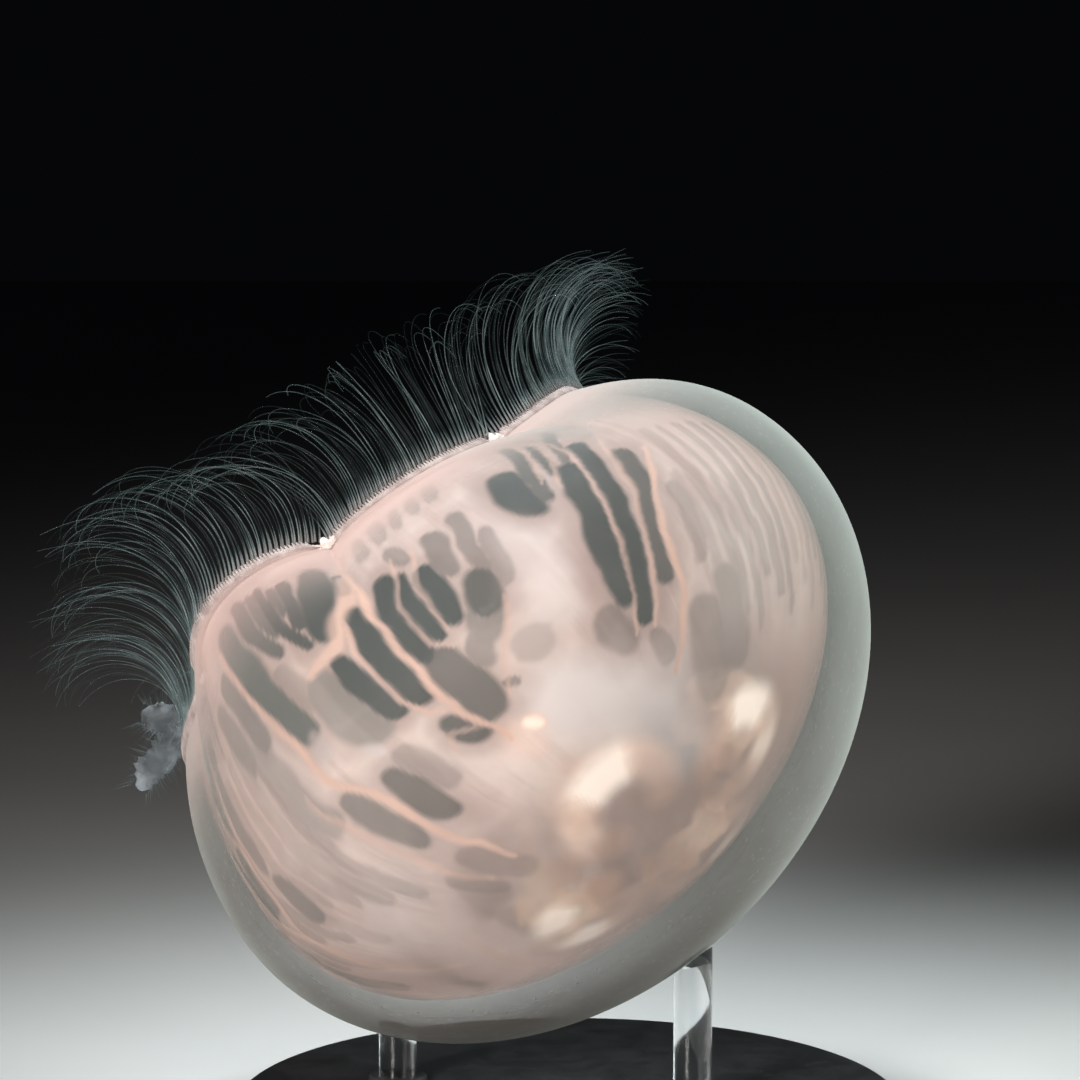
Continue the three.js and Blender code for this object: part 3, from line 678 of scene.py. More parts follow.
def markBell(azimuth, down):
    shiftAcross, shiftDown = wander(azimuth, down)
    radius, height = bellPoint(azimuth, down, False)
    bentAzimuth = azimuth + shiftAcross * 0.9 / np.maximum(radius, 5)
    bentDown = down + shiftDown * 0.9 / bell["innerLength"]
    farMarks, farRoutes = farSideMarks()
    marks = {name: np.zeros(len(azimuth)) for name in ("shadedWindow", "canal", "fringeShade", "green", "milk")}
    # windows painted dark as shade, and painted shade on the flesh beside them
    for halfWidth, dark, greenness, route in windows + farMarks:
        share = strokeDistance(bentAzimuth, bentDown, route, halfWidth * bell["windowWidth"], 0.18)
        mark = smooth((bell["windowRim"] - share) / bell["windowSoftness"]) * dark
        marks["green"] = np.where(mark > marks["shadedWindow"], greenness, marks["green"])
        marks["shadedWindow"] = np.maximum(marks["shadedWindow"], mark)
        # painted shade beside each window, fading out over its reach
        beyond = (share - 1) * halfWidth
        beside = smooth(1 - beyond / bell["fringeShadeReach"]) * dark * bell["fringeShadeStrength"]
        marks["fringeShade"] = np.maximum(marks["fringeShade"], beside)
    for halfWidth, strength, route in canals + farRoutes:
        share = strokeDistance(bentAzimuth, bentDown, route, halfWidth * bell["canalWidth"], 0.45)
        marks["canal"] = np.maximum(marks["canal"], smooth((1.5 - share) / 1.1) * strength)
    for halfWidth, strength, route in milkyPatches:
        share = strokeDistance(bentAzimuth, bentDown, route, halfWidth, 0.2)
        marks["milk"] = np.maximum(marks["milk"], smooth((1.4 - share) / 1.2) * strength)
    marks["shadedWindow"] *= (1 - 0.9 * marks["canal"]) * (1 - 0.6 * marks["milk"])
    marks["glow"], marks["bright"] = gonadGlow(polar(radius, azimuth, height))
    # painted glow: small bright spots, coloured and lit like the glow over the gonads
    for halfWidth, strength, route in glowSpots:
        spot = smooth((1.5 - strokeDistance(azimuth, down, route, halfWidth, 0.2)) / 1.3) * strength
        marks["bright"] = np.where(spot > marks["glow"], spot * 0.8, marks["bright"])
        marks["glow"] = np.maximum(marks["glow"], spot)
    return marks


def bellAzimuths():
    facing = math.radians(bell["facing"])
    turn = np.arange(bell["columns"]) / bell["columns"] * 2 * math.pi
    return turn - bell["crowding"] * np.sin(turn - facing)


def thicknessAt(azimuth, down):
    # thickness of the gel as a share of the thickness at the crown
    outRadius, outHeight = bellPoint(azimuth, down, True)
    inRadius, inHeight = bellPoint(azimuth, down, False)
    return np.hypot(outRadius - inRadius, outHeight - inHeight) / (bell["height"] - bell["ceilingHeight"])


def makeBell(gel, flesh):
    # one skin: gel outside, from the crown down to the margin, and flesh over the lip and up inside
    azimuths = bellAzimuths()
    columns = bell["columns"]
    outerShares = np.linspace(0.012, 1, bell["outerRows"])
    innerShares = np.concatenate([
        np.linspace(0.02, 0.2, bell["crownRows"], endpoint=False),
        np.linspace(0.2, 1, bell["innerRows"] - bell["crownRows"])])[::-1]
    rows = []
    for share in outerShares:
        radius, height = bellPoint(azimuths, share, True)
        fromNotch = (np.degrees(azimuths) + 22.5) % 45 - 22.5
        furrow = np.exp(-(fromNotch / bell["furrowWidth"]) ** 2) * smooth((share - 0.7) / 0.3)
        rows.append(polar(radius - bell["furrowDepth"] * furrow, azimuths, height))
    rimRadius, rimHeight = rimAt(azimuths)
    for i in range(1, bell["lipRows"] + 1):
        turn = math.pi * i / (bell["lipRows"] + 1)
        half = bell["rimThickness"] / 2
        radius = rimRadius - half + half * math.cos(turn)
        rows.append(polar(radius, azimuths, rimHeight - 0.5 * math.sin(turn)))
    lipEnd = len(rows)
    grid = np.meshgrid(innerShares, azimuths, indexing="ij")
    down, around = grid[0].ravel(), grid[1].ravel()
    marks = markBell(around, down)
    radius, height = bellPoint(around, down, False)
    fade = smooth((0.995 - down) / 0.05) * smooth((down - 0.05) / 0.2)
    recess = (bell["windowDepth"] * marks["shadedWindow"] + bell["fleshRelief"] * (1 - marks["canal"])) * fade
    inner = polar(radius + recess, around, height)
    outer = np.concatenate(rows)
    points = np.concatenate([outer, inner, [[0, 0, bell["height"]], [0, 0, bell["ceilingHeight"]]]])
    rowCount = lipEnd + len(innerShares)
    top, ceiling = rowCount * columns, rowCount * columns + 1
    faces = gridFaces(rowCount, columns)
    faces += fanFaces(top, list(range(columns)), True)
    lastRing = list(range((rowCount - 1) * columns, rowCount * columns))
    faces += fanFaces(ceiling, lastRing)
    piece = makePiece(
        "bell", points, faces, [gel, flesh],
        ["bell_crown"] + [f"bell_lobe_{i + 1}" for i in range(lobeCount)])
    mesh = piece.data
    side = np.zeros(len(mesh.polygons), dtype=np.int32)
    side[(lipEnd - bell["lipRows"]) * columns - columns:(rowCount - 1) * columns] = 1
    side[-columns:] = 1
    mesh.polygons.foreach_set("material_index", side)
    outerCount = len(outer)

    def spread(values, fill=0.0, ends=(0.0, 0.0)):
        return np.concatenate([np.full(outerCount, fill), values, ends])

    for name, values in marks.items():
        setAttribute(mesh, name, spread(values))
    setAttribute(mesh, "down", spread(down, 1.0))
    thick = np.concatenate([thicknessAt(azimuths, share) for share in outerShares])
    fill = np.full(len(points) - len(thick), 1.0)
    setAttribute(mesh, "thick", np.concatenate([thick, fill]))
    grain = np.zeros((len(points), 3))
    grain[outerCount:outerCount + len(down)] = polar(14.0, around, down * 3)
    attribute = mesh.attributes.new("grain", "FLOAT_VECTOR", "POINT")
    attribute.data.foreach_set("vector", grain.astype(np.float32).ravel())
    return piece


makeBell(makeGel(), makeFlesh())


band = {
    "height": 1.7, "overlap": 0.35, "teethPerLobe": 60, "toothDepth": 0.75,
    "notchRoom": 1.2, "roughRadius": 42,
    "shade": (0.31, 0.245, 0.23, 1), "light": (0.46, 0.39, 0.37, 1),
}
tentacle = {
    "perLobe": 84, "steps": 30, "sides": 4, "bulbRadius": 0.24, "rootRadius": 0.125, "tipRadius": 0.045,
    "faintAlpha": 0.05, "clearAlpha": 0.46, "rootAlpha": 0.5, "endFade": 0.45,
    "length": 33, "longer": 3, "lengthScatter": 2, "shorter": 1.2,
    "bend": 118, "bendMore": 32, "bendMoreAt": 20, "bendScatter": 8, "bendGrowth": 1.3, "bendDrift": 13,
    "curl": 20, "curlScatter": 45, "curlFrom": 0.7, "swayDrift": 16, "swayScatter": 7,
    "crossing": 0.45, "crossingWidth": 3.5, "stray": 0.16, "short": 0.22,
    "sway": 45, "swayAt": 85, "swayWidth": 36, "swayBack": 25, "swayBackAt": 25, "swayBackWidth": 25,
    "lean": 0.2, "leanMore": 0.38, "leanFade": 1.5,
    "parted": (175, 199),               # no tentacles where the third arm hangs over the margin
    "shade": (0.07, 0.11, 0.11, 1), "light": (0.21, 0.27, 0.27, 1),
    "root": (0.29, 0.27, 0.26, 1), "tip": (0.08, 0.13, 0.13, 1),
}


def makeMarginLook():
    material, tree, shader = newMaterial("marginBand", Roughness=0.6, IOR=1.36, Specular_IOR_Level=0.15)
    space = objectSpace(tree)
    clouds = mottle(tree, space, 420.0, 0.5, band["shade"], band["light"])
    tree.links.new(clouds.outputs["Colour"], shader.inputs["Base Color"])
    bumpInto(tree, shader, clouds.outputs["Height"], 0.3, 0.0003)
    return material


def makeTentacleLook():
    material, tree, shader = newMaterial("feelerThread", Roughness=0.5, IOR=1.36, Specular_IOR_Level=0.2)
    along = readAttribute(tree, "along").outputs["Fac"]
    tone = readAttribute(tree, "tone").outputs["Fac"]
    space = objectSpace(tree)
    clouds = mottle(tree, space, 300.0, 0.5, tentacle["shade"], tentacle["light"])
    colour = mixColours(
        tree, remap(tree, along, 0.0, 0.10, 0.8, 0.0), clouds.outputs["Colour"], tentacle["root"])
    colour = mixColours(tree, remap(tree, along, 0.4, 1.0, 0.0, 0.5), colour, tentacle["tip"])
    tree.links.new(colour, shader.inputs["Base Color"])
    body = remap(tree, tone, 0.2, 1.0, tentacle["faintAlpha"], tentacle["clearAlpha"], "LINEAR")
    fade = remap(tree, along, 0.0, 1.0, 1.0, tentacle["endFade"], "LINEAR")
    root = remap(tree, along, 0.0, 0.14, tentacle["rootAlpha"], 0.0)
    tree.links.new(calculate(tree, "MULTIPLY_ADD", body, fade, root), shader.inputs["Alpha"])
    bumpInto(tree, shader, clouds.outputs["Height"], 0.2, 0.0001)
    return material


def makeMarginBand(material):
    points = []
    faces = []
    columns = band["teethPerLobe"] * 6
    half = bell["rimThickness"] / 2
    for lobe in range(lobeCount):
        room = band["notchRoom"] / band["roughRadius"]
        azimuths = np.linspace(lobe * math.pi / 4 + room, (lobe + 1) * math.pi / 4 - room, columns)
        rimRadius, rimHeight = rimAt(azimuths)
        wave = 0.5 + 0.5 * np.cos(np.linspace(0, band["teethPerLobe"] * 2 * math.pi, columns))
        ends = smooth(np.minimum(np.arange(columns), np.arange(columns)[::-1]) / 14)
        bottom = -band["height"] + band["toothDepth"] * wave
        section = [
            (-half - 0.05, band["overlap"]), (half + 0.08, band["overlap"]),
            (half + 0.12, -0.35), (half * 0.8, -0.75), (half * 0.35, -1.0),
            (-half * 0.35, -1.0), (-half * 0.8, -0.75), (-half - 0.1, -0.35)]
        first = len(points)
        for j in range(columns):
            for across, fall in section:
                height = fall if fall > -0.4 else -0.35 + (bottom[j] + 0.35) * (-fall - 0.35) / 0.65
                radius = rimRadius[j] - half + across * lerp(0.5, 1, ends[j])
                points.append(polar(radius, azimuths[j], rimHeight[j] + height * lerp(0.3, 1, ends[j])))
        count = len(section)
        faces += gridFaces(columns, count, True, first)
        faces.append(tuple(range(first, first + count)))
        last = first + (columns - 1) * count
        faces.append(tuple(range(last, last + count))[::-1])
    return makePiece("marginBand", np.array(points), faces, [material],
                     [f"tentacles_{i + 1}" for i in range(lobeCount)])


def nearness(azimuth, place, width):
    # falls from 1 at a place on the margin to 0 over the width, in degrees
    apart = (math.degrees(azimuth) - place + 180) % 360 - 180
    return math.exp(-(apart / width) ** 2)


def tentaclePath(azimuth, index):
    # bends away from the bell like the mouth of a trumpet, as in the solids, and strays a little
    rimRadius, rimHeight = (float(value) for value in rimAt(azimuth))
    around = Vector((math.cos(azimuth), math.sin(azimuth), 0))
    drift = noise.noise(around * 7 + Vector((0, 0, 1.7)))
    drift += 0.6 * noise.noise(around * 19 + Vector((0, 0, 5.1)))
    more = tentacle["bendMore"] * math.cos(azimuth - math.radians(tentacle["bendMoreAt"]))
    bend = (tentacle["bend"] + more + tentacle["bendScatter"] * scatter(index)
            + tentacle["bendDrift"] * drift)
    curl = tentacle["curl"] + tentacle["curlScatter"] * scatter(index * 11 + 4)
    sway = (tentacle["sway"] * nearness(azimuth, tentacle["swayAt"], tentacle["swayWidth"])
            - tentacle["swayBack"] * nearness(azimuth, tentacle["swayBackAt"], tentacle["swayBackWidth"])
            + tentacle["swayDrift"] * noise.noise(around * 9 + Vector((0, 0, 9.3)))
            + tentacle["swayScatter"] * scatter(index * 5))
    fromNotch = (math.degrees(azimuth) + 22.5) % 45 - 22.5
    crossing = math.exp(-abs(fromNotch) / tentacle["crossingWidth"])
    crossing = -tentacle["crossing"] * math.copysign(crossing, fromNotch)
    outward = polar(1.0, azimuth + math.radians(sway), 0.0)
    sideways = polar(1.0, azimuth + math.pi / 2, 0.0)
    lean = tentacle["lean"] + tentacle["leanMore"] * (1 - math.cos(azimuth))
    length = (tentacle["length"] - tentacle["longer"] * math.cos(azimuth)
              + tentacle["lengthScatter"] * scatter(index * 3 + 1) - tentacle["shorter"])
    length *= 1 - tentacle["short"] * max(0.0, scatter(index * 7 + 2)) ** 2
    steps = tentacle["steps"]
    place = polar(rimRadius - bell["rimThickness"] / 2 + 0.4 * scatter(index * 17), azimuth, rimHeight - 1.15)
    path = [place]
    for i in range(steps):
        share = (i + 0.5) / steps
        late = max(0, (share - tentacle["curlFrom"]) / (1 - tentacle["curlFrom"]))
        angle = math.radians(bend * share ** tentacle["bendGrowth"] + curl * late ** 1.5)
        direction = np.array([lean * (1 - share) ** tentacle["leanFade"], 0, -math.cos(angle)])
        stray = tentacle["stray"] * noise.noise(Vector(place) * 0.11 + Vector((index * 0.37, 0, 0)))
        direction = direction + outward * math.sin(angle) + sideways * (crossing * (1 - share) ** 2 + stray)
        place = place + direction / np.linalg.norm(direction) * length / steps
        path.append(place)
    return np.array(path)


def addTube(points, faces, path, radii, sides):
    # a closed thin tube round a path, with its side vectors carried along without twist
    first = len(points)
    tangents = np.gradient(path, axis=0)
    tangents /= np.linalg.norm(tangents, axis=1)[:, None]
    side = np.cross(tangents[0], (0.31, 0.52, 0.79))
    for centre, tangent, radius in zip(path, tangents, radii):
        side = side - tangent * np.dot(side, tangent)
        side /= np.linalg.norm(side)
        other = np.cross(tangent, side)
        for k in range(sides):
            turn = 2 * math.pi * k / sides
            points.append(centre + (side * math.cos(turn) + other * math.sin(turn)) * radius)
    rows = len(path)
    faces += [face[::-1] for face in gridFaces(rows, sides, True, first)]
    faces.append(tuple(range(first, first + sides)))
    last = first + (rows - 1) * sides
    faces.append(tuple(range(last, last + sides))[::-1])


def makeTentacles(material):
    points = []
    faces = []
    along = []
    tone = []
    roots = []
    steps = tentacle["steps"]
    shares = np.arange(steps + 1) / steps
    radii = lerp(tentacle["rootRadius"], tentacle["tipRadius"], shares ** 0.8)
    radii += (tentacle["bulbRadius"] - tentacle["rootRadius"]) * np.exp(-(shares / 0.05) ** 2)
    low, high = (math.radians(value) for value in tentacle["parted"])
    for lobe in range(lobeCount):
        for i in range(tentacle["perLobe"]):
            share = (i + 0.4 * scatter(i * 13 + lobe)) / (tentacle["perLobe"] - 1)
            azimuth = (lobe + 0.02 + 0.96 * share) * math.pi / 4
            index = lobe * tentacle["perLobe"] + i
            if low < azimuth < high:
                continue
            addTube(points, faces, tentaclePath(azimuth, index), radii, tentacle["sides"])
            along += list(np.repeat(shares, tentacle["sides"]))
            tone += [(0.5 + 0.5 * scatter(index * 29 + 7)) ** 2.2] * len(shares) * tentacle["sides"]
            roots.append(azimuth)
    piece = makePiece("tentacles", np.array(points), faces, [material],
                      [f"tentacles_{i + 1}" for i in range(lobeCount)])
    setAttribute(piece.data, "along", along)
    setAttribute(piece.data, "tone", tone)
    patchUv(piece.data, roots, steps + 1, tentacle["sides"])
    return piece


def patchUv(mesh, roots, rows, sides):
    # each tentacle is a small patch at its root's place on the bell laid out flat from the top
    size = 0.003
    layer = mesh.uv_layers.new(name="OFBake")
    vertexOf = np.empty(len(mesh.loops), dtype=np.int32)
    mesh.loops.foreach_get("vertex_index", vertexOf)
    each = rows * sides
    which = vertexOf // each
    inside = vertexOf % each
    angle = np.array(roots)[which]
    centre = 0.5 + 0.485 * np.stack([np.cos(angle), np.sin(angle)], axis=-1)
    patch = np.stack([(inside % sides) / (sides - 1) - 0.5, (inside // sides) / (rows - 1) - 0.5], axis=-1)
    layer.data.foreach_set("uv", (centre + patch * size).astype(np.float32).ravel())


makeMarginBand(makeMarginLook())
threadLook = makeTentacleLook()
makeTentacles(threadLook)


def makeGonadLook():
    material, tree, shader = newMaterial(
        "gonadCream", Roughness=0.6, IOR=1.36, Specular_IOR_Level=0.2, Emission_Strength=0.35)
    space = objectSpace(tree)
    dull = readAttribute(tree, "dull").outputs["Fac"]
    outer = readAttribute(tree, "outer").outputs["Fac"]
    clouds = mottle(tree, space, 200.0, 0.6, gonad["shade"], gonad["light"])
    share = remap(tree, dull, 0.3, 0.9, 0.0, 1.0)
    colour = mixColours(tree, share, gonad["cream"], clouds.outputs["Colour"])
    colour = mixColours(tree, calculate(tree, "MULTIPLY", outer, 0.7), colour, gonad["rust"])
    tree.links.new(colour, shader.inputs["Base Color"])
    # painted glow: emission makes the gonads shine, most where they are least dull
    lit = calculate(tree, "MULTIPLY_ADD", share, -0.72, 1.0)
    tree.links.new(mixColours(tree, lit, (0, 0, 0, 1), colour), shader.inputs["Emission Color"])
    edge = addNode(tree, "ShaderNodeLayerWeight", Blend=0.5)
    soft = remap(tree, edge.outputs["Facing"], 0.1, 0.8, 1.0, 0.0)
    body = remap(tree, dull, 0.3, 0.9, 0.85, 0.5)
    tree.links.new(calculate(tree, "MULTIPLY", body, soft), shader.inputs["Alpha"])
    bumpInto(tree, shader, clouds.outputs["Height"], 0.4, 0.0005)
    return material


def makeGonads(material):
    points = []
    faces = []
    dull = []
    outer = []
    steps, sides = gonad["steps"], gonad["sides"]
    for quarter in range(4):
        path = gonadPath(quarter)
        shares = np.arange(steps + 1) / steps
        reach = np.minimum(shares, 1 - shares) * steps / gonad["endSteps"]
        rounded = np.sqrt(np.clip(1 - (1 - np.minimum(reach, 1)) ** 2, 0.02, 1))
        lumps = 1 + gonad["lumps"] * np.sin(shares * 9 * math.pi + quarter) * 0.6 - 0.06
        first = len(points)
        addTube(points, faces, path, gonad["tubeRadius"] * rounded * lumps, sides)
        for k in range(first, len(points)):
            centre = path[(k - first) // sides]
            away = points[k] - centre
            place = Vector(points[k]) * 0.42
            ruffle = noise.noise(place + Vector((quarter * 9, 0, 0))) + 0.5 * noise.noise(place * 2.7)
            points[k] = centre + away * (0.93 + gonad["ruffles"] * ruffle)
            fromRing = math.dist(points[k][:2], middle["place"]) - gonad["ringRadius"]
            outer.append(smooth((fromRing - 6.5) / 4) * smooth((noise.noise(place * 0.5) + 0.5)))
        dull += list(np.repeat(1 - gonadShine(quarter), sides))
    piece = makePiece("gonads", np.array(points), faces, [material],
                      [f"gonad_{i + 1}" for i in range(4)])
    setAttribute(piece.data, "dull", dull)
    setAttribute(piece.data, "outer", outer)


bead = {
    "radius": 1.0, "rings": 12, "sides": 18, "pinch": 0.18,
    "hood": (0.6, 1.15, 0.7), "lappet": (0.5, 0.7, 1.0),        # half axes outward, sideways and down
    "lappetApart": 1.3, "lappetPinch": 0.2,
    "shade": (0.60, 0.50, 0.45, 1), "light": (0.84, 0.80, 0.77, 1),
}


def makeBeadLook():
    # a faint painted glow: emission makes the sense organs shine a little
    material, tree, shader = newMaterial(
        "senseOrgan", Roughness=0.45, Specular_IOR_Level=0.3, Emission_Strength=0.04)
    clouds = mottle(tree, objectSpace(tree), 900.0, 0.4, bead["shade"], bead["light"])
    tree.links.new(clouds.outputs["Colour"], shader.inputs["Base Color"])
    tree.links.new(clouds.outputs["Colour"], shader.inputs["Emission Color"])
    bumpInto(tree, shader, clouds.outputs["Height"], 0.3, 0.0002)
    return material


def addBall(points, faces, centre, axes, rings, sides, pinch=0.0):
    # a closed ball with three half axes; pinch draws it in towards the end of the third
    first = len(points)
    axes = [np.array(axis, dtype=float) for axis in axes]
    for i in range(1, rings):
        latitude = math.pi * i / rings
        rise = math.cos(latitude)
        wide = math.sin(latitude) * (1 - pinch * rise)
        for k in range(sides):
            turn = 2 * math.pi * k / sides
            across = axes[0] * wide * math.cos(turn) + axes[1] * wide * math.sin(turn)
            points.append(centre + across + axes[2] * rise)
    faces += [face[::-1] for face in gridFaces(rings - 1, sides, True, first)]
    points += [centre + axes[2], centre - axes[2]]
    count = (rings - 1) * sides
    faces += fanFaces(first + count, list(range(first, first + sides)))
    faces += fanFaces(first + count + 1, list(range(first + count - sides, first + count)), True)


def makeSenseOrgans(material):
    points = []
    faces = []
    for notchIndex in range(lobeCount):
        azimuth = notchIndex * math.pi / 4
        rimRadius, rimHeight = (float(value) for value in rimAt(azimuth))
        out = polar(1.0, azimuth, 0.0)
        side = np.array([-out[1], out[0], 0.0])
        fall = np.array([0.0, 0.0, -1.0])
        radius = bead["radius"]
        centre = out * (rimRadius - bell["rimThickness"] / 2)
        centre = centre + np.array([0, 0, rimHeight - 0.3 - radius])
        addBall(points, faces, centre, (out * radius * 0.85, side * radius * 0.85, fall * radius),
                bead["rings"], bead["sides"], bead["pinch"])
        hood = centre + out * 0.45 - fall * 0.75
        hoodAxes, lappetAxes = (
            [axis * half for axis, half in zip((out, side, fall), bead[name])] for name in ("hood", "lappet"))
        addBall(points, faces, hood, hoodAxes, bead["rings"], bead["sides"])
        for hand in (-1, 1):
            lappet = centre + side * hand * bead["lappetApart"] - fall * 0.55
            addBall(points, faces, lappet, lappetAxes, bead["rings"], bead["sides"], bead["lappetPinch"])
    makePiece("senseOrgans", np.array(points), faces, [material],
              [f"rhopalium_{i + 1}" for i in range(lobeCount)])


manubrium = {
    "topRadius": 6.5, "waistRadius": 4.6, "mouthRadius": 7.2, "mouthHeight": 9,
    "cornering": 0.12, "rings": 26, "sides": 48,
}
arm = {
    "rootWidth": 7.5, "tipWidth": 6.5, "sheet": 1.15, "steps": 150, "across": 15,
    "fold": 1.0, "ruffle": 0.95, "waves": 13, "teeth": 46, "toothDepth": 0.10, "roundFrom": 0.86,
    "voxel": 0.36, "softening": 6,      # of the welded stalk and arms
}
prong = {
    "facing": 100, "rootWidth": 5.6, "tipWidth": 5.2, "sheet": 0.95, "steps": 64, "across": 15,
    "fold": 0.5, "ruffle": 1.0, "waves": 3.4, "teeth": 13, "toothDepth": 0.22, "roundFrom": 0.72,
}
# Threads for each prong of the fork. They start at "from", lean further ahead past "endFrom" and
# stand closer to the middle line past "endEdgeFrom", all shares of the prong's length.
fringe = {
    "threads": 90, "steps": 8, "sides": 4, "length": 3.4, "rootRadius": 0.11, "tipRadius": 0.04,
    "pathSteps": 60, "from": 0.2, "endFrom": 0.75, "edge": 0.38, "endEdge": 0.30, "endEdgeFrom": 0.85,
}
# The arms' middle lines as radius, azimuth in degrees and height, and the way each is turned.
arms = [
    {"facing": 45, "line": [(5, 45, 11.5), (13, 42, 4), (21, 37, -5), (27, 32, -13), (31.5, 30, -20)]},
    {"facing": 135, "line": [(5, 155, 12.5), (13, 150, 10), (21, 148, 1), (27, 144, -9), (31.5, 146, -17)]},
    {"facing": 135, "line": [
        (5, 225, 11), (14, 222, 2), (21, 213, -10), (30, 200, -25), (37.5, 190, -36), (42, 186.5, -41.5)],
     "prongs": [
        [(39, 189, -38.5), (44, 185, -44.5), (46.0, 180.4, -48.6)],
        [(39, 189, -38.5), (47.5, 186, -42.6), (56, 184.6, -41.6)]]},
    {"facing": 315, "line": [(5, 315, 11.5), (13, 313, 3), (20, 307, -7), (26, 303, -18), (30, 300, -28)]},
]


mouthLook = {
    "shade": (0.24, 0.30, 0.34, 1), "light": (0.46, 0.52, 0.56, 1), "wart": (0.88, 0.82, 0.78, 1),
    "faintAlpha": 0.09, "milkyAlpha": 0.27, "stalkAlpha": 0.12,
}


def makeMouthLook():
    material, tree, shader = newMaterial("milkyMouth", Roughness=0.6, IOR=1.36, Specular_IOR_Level=0.1)
    space = objectSpace(tree)
    clouds = mottle(tree, space, 140.0, 0.6, mouthLook["shade"], mouthLook["light"])
    warts = useGroup(tree, fineWarts, Vector=space, Scale=900.0, Size=0.35)
    wartShare = calculate(tree, "MULTIPLY", warts.outputs["Mask"], 0.35)
    colour = mixColours(tree, wartShare, clouds.outputs["Colour"], mouthLook["wart"])
    tree.links.new(colour, shader.inputs["Base Color"])
    body = remap(
        tree, clouds.outputs["Mask"], 0.0, 1.0, mouthLook["faintAlpha"], mouthLook["milkyAlpha"])
    sheer = readAttribute(tree, "sheer").outputs["Fac"]
    tree.links.new(mixValues(tree, sheer, body, mouthLook["stalkAlpha"]), shader.inputs["Alpha"])
    bumpInto(tree, shader, clouds.outputs["Height"], 0.4, 0.0005)
    return material


def smoothCurve(line, count):
    # uniform Catmull-Rom through a few points, with its ends carried straight on
    knots = np.array(line, dtype=float)
    knots = np.vstack([2 * knots[0] - knots[1], knots, 2 * knots[-1] - knots[-2]])
    along = np.linspace(0, len(line) - 1 - 1e-9, count)
    first = np.floor(along).astype(int)
    u = (along - first)[:, None]
    p0, p1, p2, p3 = (knots[first + k] for k in range(4))
    return 0.5 * (2 * p1 + (p2 - p0) * u + (2 * p0 - 5 * p1 + 4 * p2 - p3) * u ** 2
                  + (3 * p1 - p0 - 3 * p2 + p3) * u ** 3)


def addRibbon(points, faces, line, facing, ribbon, phase):
    # a folded ribbon with frilled edges, narrowing to its rounded end
    steps, across = ribbon["steps"], ribbon["across"]
    low, high = middle["from"], middle["to"]
    knots = []
    for radius, turn, height in line:
        share = min(1, max(0, (height - low) / (high - low)))
        knots.append(fromMiddle(polar(radius, math.radians(turn), height), share))
    path = smoothCurve(knots, steps)
    tangents = np.gradient(path, axis=0)
    tangents /= np.linalg.norm(tangents, axis=1)[:, None]
    outward = polar(1.0, math.radians(facing), 0.0)
    first = len(points)
    for i in range(steps):
        along = i / (steps - 1)
        side = np.cross(tangents[i], outward)
        side /= np.linalg.norm(side)
        through = np.cross(side, tangents[i])
        ending = max(0, (along - ribbon["roundFrom"]) / (1 - ribbon["roundFrom"]))
        closing = math.sqrt(max(0.05, 1 - ending * ending))
        width = lerp(ribbon["rootWidth"], ribbon["tipWidth"], along) * (1 + 0.08 * math.sin(along * 24))
        half = width / 2 * closing
        for layer in (1, -1):
            cells = range(across) if layer > 0 else range(across - 1, -1, -1)
            for k in cells:
                place = lerp(-1, 1, k / (across - 1))
                teeth = math.sin(along * ribbon["teeth"] * 2 * math.pi + phase + place)
                tooth = 1 + ribbon["toothDepth"] * teeth * abs(place) ** 3
                wave = math.sin(along * ribbon["waves"] * 2 * math.pi + phase + (1.3 if place > 0 else 0))
                lift = ribbon["ruffle"] * abs(place) ** 2.2 * wave - ribbon["fold"] * (0.5 - abs(place))
                points.append(path[i] + side * place * half * tooth
                              + through * (lift * closing + layer * ribbon["sheet"] / 2))
    count = across * 2
    faces += gridFaces(steps, count, True, first)
    faces.append(tuple(range(first, first + count))[::-1])
    last = first + (steps - 1) * count
    faces.append(tuple(range(last, last + count)))


def addStalk(points, faces):
    # the four-cornered stalk of the mouth
    top = ceilingAt(manubrium["topRadius"] * 1.12 + math.hypot(*middle["place"])) - 0.4
    mouth, waist = manubrium["mouthHeight"], manubrium["waistRadius"]
    profile = [
        (0.6, mouth + 2.5), (manubrium["mouthRadius"] - 2.2, mouth), (manubrium["mouthRadius"], mouth + 1),
        (waist, lerp(mouth, top, 0.45)), (waist + 0.6, lerp(mouth, top, 0.75)), (manubrium["topRadius"], top)]
    rings, sides = manubrium["rings"], manubrium["sides"]
    turns = np.linspace(0, 2 * math.pi, sides, endpoint=False)
    corner = 1 + manubrium["cornering"] * np.cos(4 * turns + math.pi)
    first = len(points)
    for radius, height in smoothCurve([(r, h, 0) for r, h in profile], rings)[:, :2]:
        points += list(fromMiddle(polar(radius * corner, turns, height)))
    faces += gridFaces(rings, sides, True, first)
    faces.append(tuple(range(first, first + sides))[::-1])
    last = first + (rings - 1) * sides
    faces.append(tuple(range(last, last + sides)))


